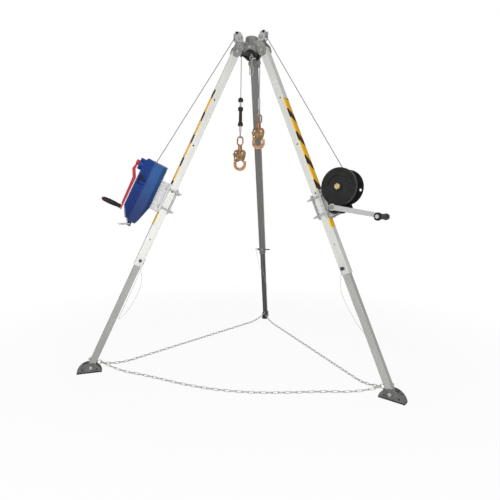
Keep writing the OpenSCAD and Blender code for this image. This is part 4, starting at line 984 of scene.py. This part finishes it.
galvanised = zinc_coat("galvanised", (0.33, 0.335, 0.33), (0.46, 0.465, 0.46))
dark_zinc = zinc_coat("dark_zinc", (0.24, 0.24, 0.235), (0.42, 0.42, 0.41))
bright_chain = zinc_coat("bright_chain", (0.27, 0.265, 0.25), (0.50, 0.49, 0.465), 0.36)
turned_sheave = worn_steel("turned_sheave", (0.22, 0.22, 0.22), (0.42, 0.42, 0.41), 0.34)
shoe_steel = worn_steel("shoe_steel", (0.065, 0.066, 0.064), (0.17, 0.172, 0.165), 0.50, 0.2)
oiled_gear = worn_steel("oiled_gear", (0.10, 0.095, 0.09), (0.24, 0.235, 0.22), 0.32)
blued_pin = worn_steel("blued_pin", (0.010, 0.018, 0.05), (0.04, 0.055, 0.11), 0.34)
yellow_zinc = worn_steel("yellow_zinc", (0.055, 0.022, 0.010), (0.42, 0.205, 0.092), 0.30, 0.6)
olive_zinc = worn_steel("olive_zinc", (0.020, 0.007, 0.004), (0.25, 0.140, 0.047), 0.34, 0.5)
bright_rivet = worn_steel("bright_rivet", (0.50, 0.48, 0.44), (0.75, 0.73, 0.68), 0.28, 0.5)
brass_bolt = worn_steel("brass_bolt", (0.30, 0.20, 0.08), (0.58, 0.42, 0.20), 0.32, 0.5)
print("zinc and steel: 3 coats and 8 steels")

# %% [markdown]
# ### Wire rope
# A wire rope is strands twisted round each other. Modelling each strand would take many thin bars; the UV
# map that bar_along wrote is enough to draw their ridges on one round bar, and a bump gives them relief.

# %% Wire rope
def strand_wire(name, dark, light, strands, lay_length):
    """The strands run round the cable once in each lay length, so their ridges follow a zigzag wave of
    (strands times turn, plus strands times run over lay length)."""
    material, shader = new_finish(name, metallic=0.25, roughness=0.45)
    run = add_node(material, "ShaderNodeUVMap", uv_map="run_and_turn").outputs["UV"]
    slant = vector_step(material, "DOT_PRODUCT", run, (strands / lay_length, strands, 0.0))
    ridge = spread(material, number_step(material, "PINGPONG", slant, 0.5), 0.0, 2.0)
    wire_up(material, shades(material, ridge, (0.05, dark), (0.55, light)), shader.inputs["Base Color"])
    soil = grain(material, local_place(material), scale=80.0, detail=4.0)
    wire_up(material, spread(material, soil, 0.38, 0.58), shader.inputs["Roughness"])
    raise_bumps(material, shader, ridge, distance=0.0004, strength=0.4)
    return material


wire_rope = strand_wire("wire_rope", (0.10, 0.10, 0.10), (0.26, 0.26, 0.26), 6, 0.032)
lanyard_wire = strand_wire("lanyard_wire", (0.30, 0.29, 0.27), (0.52, 0.51, 0.48), 5, 0.014)
print("wire rope: 6 strands in the cables, 5 in the lanyards")

# %% [markdown]
# ### Enamel, powder coat and rubber
# The block's casing is glossy blue enamel with a fine orange-peel, and it is painted darker towards its lower
# end, as painted shade. The winch is powder-coated black, which has a pebbled skin. Grips and soles are
# rubber, dull with a fine grain, and the same function serves them with other pebbles. Dark paint under a
# white sky turns grey when its mirror is at full strength, so the specular level of these finishes is low.

# %% Enamel, powder coat and rubber
# The painted shade on the casing is full at the end height and fades out at the top height, along the leg.
CASING_TOP = -0.88
CASING_END = -1.24


def gloss_casing(name, dark, light, shaded_blue):
    """Enamel in two shades, with painted shade darkening it towards the block's lower end by the fade along
    the leg.
    """
    material, shader = new_finish(name, metallic=0.0, roughness=0.30, specular=0.12)
    clouds = grain(material, local_place(material), scale=14.0, detail=5.0)
    peel = grain(material, local_place(material), scale=420.0, detail=2.0)
    lower_shade = fade(material, split(material, local_place(material, "left"))["Z"], CASING_END, CASING_TOP)
    enamel = shades(material, clouds, (0.30, dark), (0.72, light))
    wire_up(material, blend_colours(material, lower_shade, enamel, shaded_blue), shader.inputs["Base Color"])
    wire_up(material, spread(material, clouds, 0.24, 0.38), shader.inputs["Roughness"])
    raise_bumps(material, shader, peel, distance=0.0001, strength=0.06)
    return material


def powder_coat(name, dark, light, roughness, pebble=650.0):
    """A pebbled skin between two tones, with dust that varies tone and roughness."""
    material, shader = new_finish(name, metallic=0.0, roughness=roughness, specular=0.18)
    pebbles = grain(material, local_place(material), scale=pebble, detail=3.0)
    dust = grain(material, local_place(material), scale=24.0, detail=6.0)
    wire_up(material, shades(material, dust, (0.35, dark), (0.75, light)), shader.inputs["Base Color"])
    dusty = spread(material, dust, roughness - 0.08, roughness + 0.12)
    wire_up(material, dusty, shader.inputs["Roughness"])
    raise_bumps(material, shader, pebbles, distance=0.0005, strength=0.35)
    return material


# The third colour of each casing is its painted shade at the lower end.
blue_casing = gloss_casing("blue_casing", (0.014, 0.080, 0.26), (0.022, 0.115, 0.34), (0.004, 0.024, 0.125))
front_casing = gloss_casing("front_casing", (0.006, 0.036, 0.20), (0.011, 0.054, 0.27), (0.004, 0.020, 0.140))
red_paint = powder_coat("red_paint", (0.42, 0.010, 0.020), (0.58, 0.028, 0.040), 0.34, 300.0)
black_coat = powder_coat("black_coat", (0.007, 0.0065, 0.006), (0.016, 0.0155, 0.015), 0.46)
black_plastic = powder_coat("black_plastic", (0.006, 0.006, 0.006), (0.016, 0.0155, 0.015), 0.50, 900.0)
grip_rubber = powder_coat("grip_rubber", (0.008, 0.0075, 0.0075), (0.024, 0.023, 0.022), 0.58, 1100.0)
brown_rubber = powder_coat("brown_rubber", (0.014, 0.009, 0.0075), (0.038, 0.026, 0.022), 0.55, 900.0)
sole_rubber = powder_coat("sole_rubber", (0.014, 0.014, 0.014), (0.040, 0.039, 0.037), 0.72, 500.0)
print("paint and rubber: 2 enamels and 6 coats")

# %% [markdown]
# ### Bars of the warning tape
# The tape's diagonal bars could be an image, but two colours and a fraction draw them sharply at any size.
# They come from the leg's own coordinates, so they run on round the folded corners, and each tape was stuck
# on at its own start.

# %% Bars of the warning tape
BAR_SPACING = 0.158
BAR_SLANT = 0.9
BAR_SHIFT = {"rear": 0.0, "left": -0.058, "right": -0.026}
YELLOW_SHARE = 0.62
BAR_EDGE = 0.005
TAPE_YELLOW = (0.98, 0.55, 0.022)
TAPE_BLACK = (0.038, 0.015, 0.004)
TAPE_SCUFF = (0.02, 0.02, 0.10)


def bar_tape(name, leg):
    """A bar is yellow where the fraction of (height on the leg + slant times across + shift) over the bar
    spacing is under the yellow share, and black elsewhere."""
    material, shader = new_finish(name, metallic=0.0, roughness=0.42, specular=0.05)
    slope = (0.0, BAR_SLANT / BAR_SPACING, 1.0 / BAR_SPACING)
    slant = vector_step(material, "DOT_PRODUCT", local_place(material, leg), slope)
    part = number_step(material, "FRACT", number_step(material, "ADD", slant, BAR_SHIFT[leg] / BAR_SPACING))
    bars = shades(material, part, (YELLOW_SHARE - BAR_EDGE, TAPE_YELLOW),
                  (YELLOW_SHARE + BAR_EDGE, TAPE_BLACK))
    scuffs = grain(material, local_place(material, leg, TAPE_SCUFF), scale=4.0, detail=6.0, rough=0.6)
    tone = shades(material, scuffs, (0.28, (0.92, 0.92, 0.92)), (0.60, (1.0, 1.0, 1.0)))
    wire_up(material, blend_colours(material, 1.0, bars, tone, "MULTIPLY"), shader.inputs["Base Color"])
    wire_up(material, spread(material, scuffs, 0.34, 0.55), shader.inputs["Roughness"])
    return material


bar_tapes = {leg: bar_tape(f"{leg}_bar_tape", leg) for leg in LEG_TURN}
print(f"tape: bars {BAR_SPACING} m apart on {len(bar_tapes)} legs")

# %% [markdown]
# ### Finishes on the pieces
# Every node of the frame and every new piece gets one of these finishes. A piece has one finish only,
# because the frame already keeps unlike surfaces as separate nodes.

# %% Put the finishes on
HOOK_PARTS = ["winch_hook", "winch_hook_eye", "winch_hook_gate",
              "block_hook", "block_hook_eye", "block_hook_gate"]
node_finishes = [
    (cast_head, ["head_casting"]),
    (dark_zinc, ["head_fittings"]),
    (galvanised, ["pulley_brackets", "winch_clamp", "winch_crank", "winch_cable_end"]),
    (galvanised, ["block_clamp", "block_bracket", "block_bail", "block_cable_end"]),
    (turned_sheave, ["left_sheave", "right_sheave"]),
    (black_coat, ["winch_frame", "winch_drum", "winch_cover"]),
    (oiled_gear, ["winch_gear", "winch_pinion"]),
    (brass_bolt, ["winch_bolts"]),
    (grip_rubber, ["winch_grip", "block_grip"]),
    (blue_casing, ["block_back_shell"]),
    (front_casing, ["block_front_shell"]),
    (red_paint, ["block_crank"]),
    (black_plastic, ["block_lever", "keeper_caps"]),
    (brown_rubber, ["block_cable_stop"]),
    (yellow_zinc, HOOK_PARTS),
]
for leg in LEG_TURN:
    node_finishes += [
        (upper_alloy[leg], [f"{leg}_upper_leg"]),
        (lower_alloy[leg], [f"{leg}_lower_leg"]),
        (galvanised, [f"{leg}_leg_fittings"]),
        (shoe_steel, [f"{leg}_foot_shoe"]),
        (sole_rubber, [f"{leg}_foot_sole"]),
        (blued_pin, [f"{leg}_lock_pin"]),
    ]
piece_finishes = [
    (wire_rope, cables + [winding]),
    (lanyard_wire, lanyards),
    (galvanised, lanyard_fittings + [spring]),
    (bright_chain, chains),
    (olive_zinc, hook_cheeks),
    (bright_rivet, hook_rivets),
    (red_paint, [channel]),
    (brown_rubber, [rims]),
]
piece_finishes += [(bar_tapes[tape.name.split("_")[0]], [tape]) for tape in tapes]


def dress(piece, material):
    """Gives a piece one finish in place of any it has."""
    piece.data.materials.clear()
    piece.data.materials.append(material)


node_rows = [(material, frame["nodes"][name]) for material, names in node_finishes for name in names]
piece_rows = [(material, piece) for material, pieces in piece_finishes for piece in pieces]
for material, piece in node_rows + piece_rows:
    dress(piece, material)
print(f"{len(node_rows)} nodes and {len(piece_rows)} new pieces have their finish")

# %% [markdown]
# ## The studio floor
# The stand is on a pale floor in front of a white backdrop. More light would bleach the floor, but it would
# bleach the stand too. So the floor is mostly white by itself to the camera and in reflections, by the kind
# of ray that sees it, and keeps a share of its lit colour near the stand for the shadows of feet and
# chains.

# %% Floor
FLOOR_HALF = 30.0
FLOOR_GREY = (0.90, 0.90, 0.90, 1.0)
FLOOR_WHITE = 0.94
FLOOR_FADE = (1.2, 2.6)

floor_mesh = bpy.data.meshes.new("studio_floor")
corners = np.array([[-1, -1, 0], [1, -1, 0], [1, 1, 0], [-1, 1, 0]]) * FLOOR_HALF
floor_mesh.from_pydata(corners.tolist(), [], [[0, 1, 2, 3]])
floor = bpy.data.objects.new("studio_floor", floor_mesh)
bpy.context.collection.objects.link(floor)


def white_rays(owner):
    """One for the camera's rays and for mirrored and refracted ones, zero for the rays that carry light."""
    rays = add_node(owner, "ShaderNodeLightPath").outputs
    mirrored = number_step(owner, "MAXIMUM", rays["Is Camera Ray"], rays["Is Glossy Ray"])
    return number_step(owner, "MAXIMUM", mirrored, rays["Is Transmission Ray"])


floor_finish, floor_shader = new_finish("pale_floor", metallic=0.0, roughness=0.9, specular=0.0)
floor_shader.inputs["Base Color"].default_value = FLOOR_GREY
floor_place = add_node(floor_finish, "ShaderNodeTexCoord").outputs["Object"]
floor_away = vector_step(floor_finish, "LENGTH", floor_place)
floor_share = spread(floor_finish, floor_away, FLOOR_WHITE, 1.0, *FLOOR_FADE)
floor_glow = add_node(floor_finish, "ShaderNodeEmission", Strength=1.0)
floor_mix = add_node(floor_finish, "ShaderNodeMixShader")
feed(floor_finish, floor_mix.inputs["Fac"],
     number_step(floor_finish, "MULTIPLY", white_rays(floor_finish), floor_share))
wire_up(floor_finish, floor_shader.outputs["BSDF"], floor_mix.inputs[1])
wire_up(floor_finish, floor_glow.outputs["Emission"], floor_mix.inputs[2])
floor_end = floor_finish.node_tree.nodes["Material Output"]
wire_up(floor_finish, floor_mix.outputs["Shader"], floor_end.inputs["Surface"])
dress(floor, floor_finish)
print(f"floor: white from {FLOOR_FADE[1]} m on")

# %% [markdown]
# ## Sky and lamps
# One large soft lamp stands in front, with weaker ones from the left and above, and an even sky fills the
# shadows. A picture of a studio could light the stand, but three lamps are easy to understand and to
# change. To the camera and in reflections the sky is white, and to the rays that carry light it is dim.

# %% Sky
SKY_LIGHT = 0.12

sky = bpy.data.worlds.new("studio_sky")
bpy.context.scene.world = sky
sky.use_nodes = True
sky_ground = sky.node_tree.nodes["Background"]
sky_ground.inputs["Color"].default_value = (1.0, 1.0, 1.0, 1.0)
wire_up(sky, spread(sky, white_rays(sky), SKY_LIGHT, 1.0), sky_ground.inputs["Strength"])
print(f"sky: {SKY_LIGHT} as light, 1 as seen")

# %% Lamps
# Each row: name; metres to the right, ahead and up from the middle of the stand; size; power
LAMPS = [
    ("front_lamp", [0.0, -3.4, 0.3], 2.2, 80),
    ("left_lamp", [-3.2, -1.6, 1.2], 2.0, 16),
    ("top_lamp", [0.0, 0.4, 3.4], 2.6, 24),
]
stand_centre = middle * [1, 1, 0.5]


def soft_lamp(name, place, aim, size, power):
    """A square area lamp at a place, turned to shine at an aim: its axes are the level side of the line
    between them, the lift square to both, and the line itself."""
    lamp = bpy.data.lights.new(name, "AREA")
    lamp.size = size
    lamp.energy = power
    thing = bpy.data.objects.new(name, lamp)
    bpy.context.collection.objects.link(thing)
    back = np.asarray(place, float) - np.asarray(aim, float)
    back = back / np.linalg.norm(back)
    side = np.cross(UPRIGHT, back)
    side = side / np.linalg.norm(side)
    matrix = np.eye(4)
    matrix[:3, :3] = np.stack([side, np.cross(back, side), back], axis=1)
    matrix[:3, 3] = place
    thing.matrix_world = Matrix(matrix.tolist())


for name, (across, ahead, up), size, power in LAMPS:
    place = stand_centre + view_side * across + view_level * ahead + UPRIGHT * up
    soft_lamp(name, place, stand_centre, size, power)
bpy.context.scene.view_settings.view_transform = "Standard"
print(f"lamps: {len(LAMPS)}")
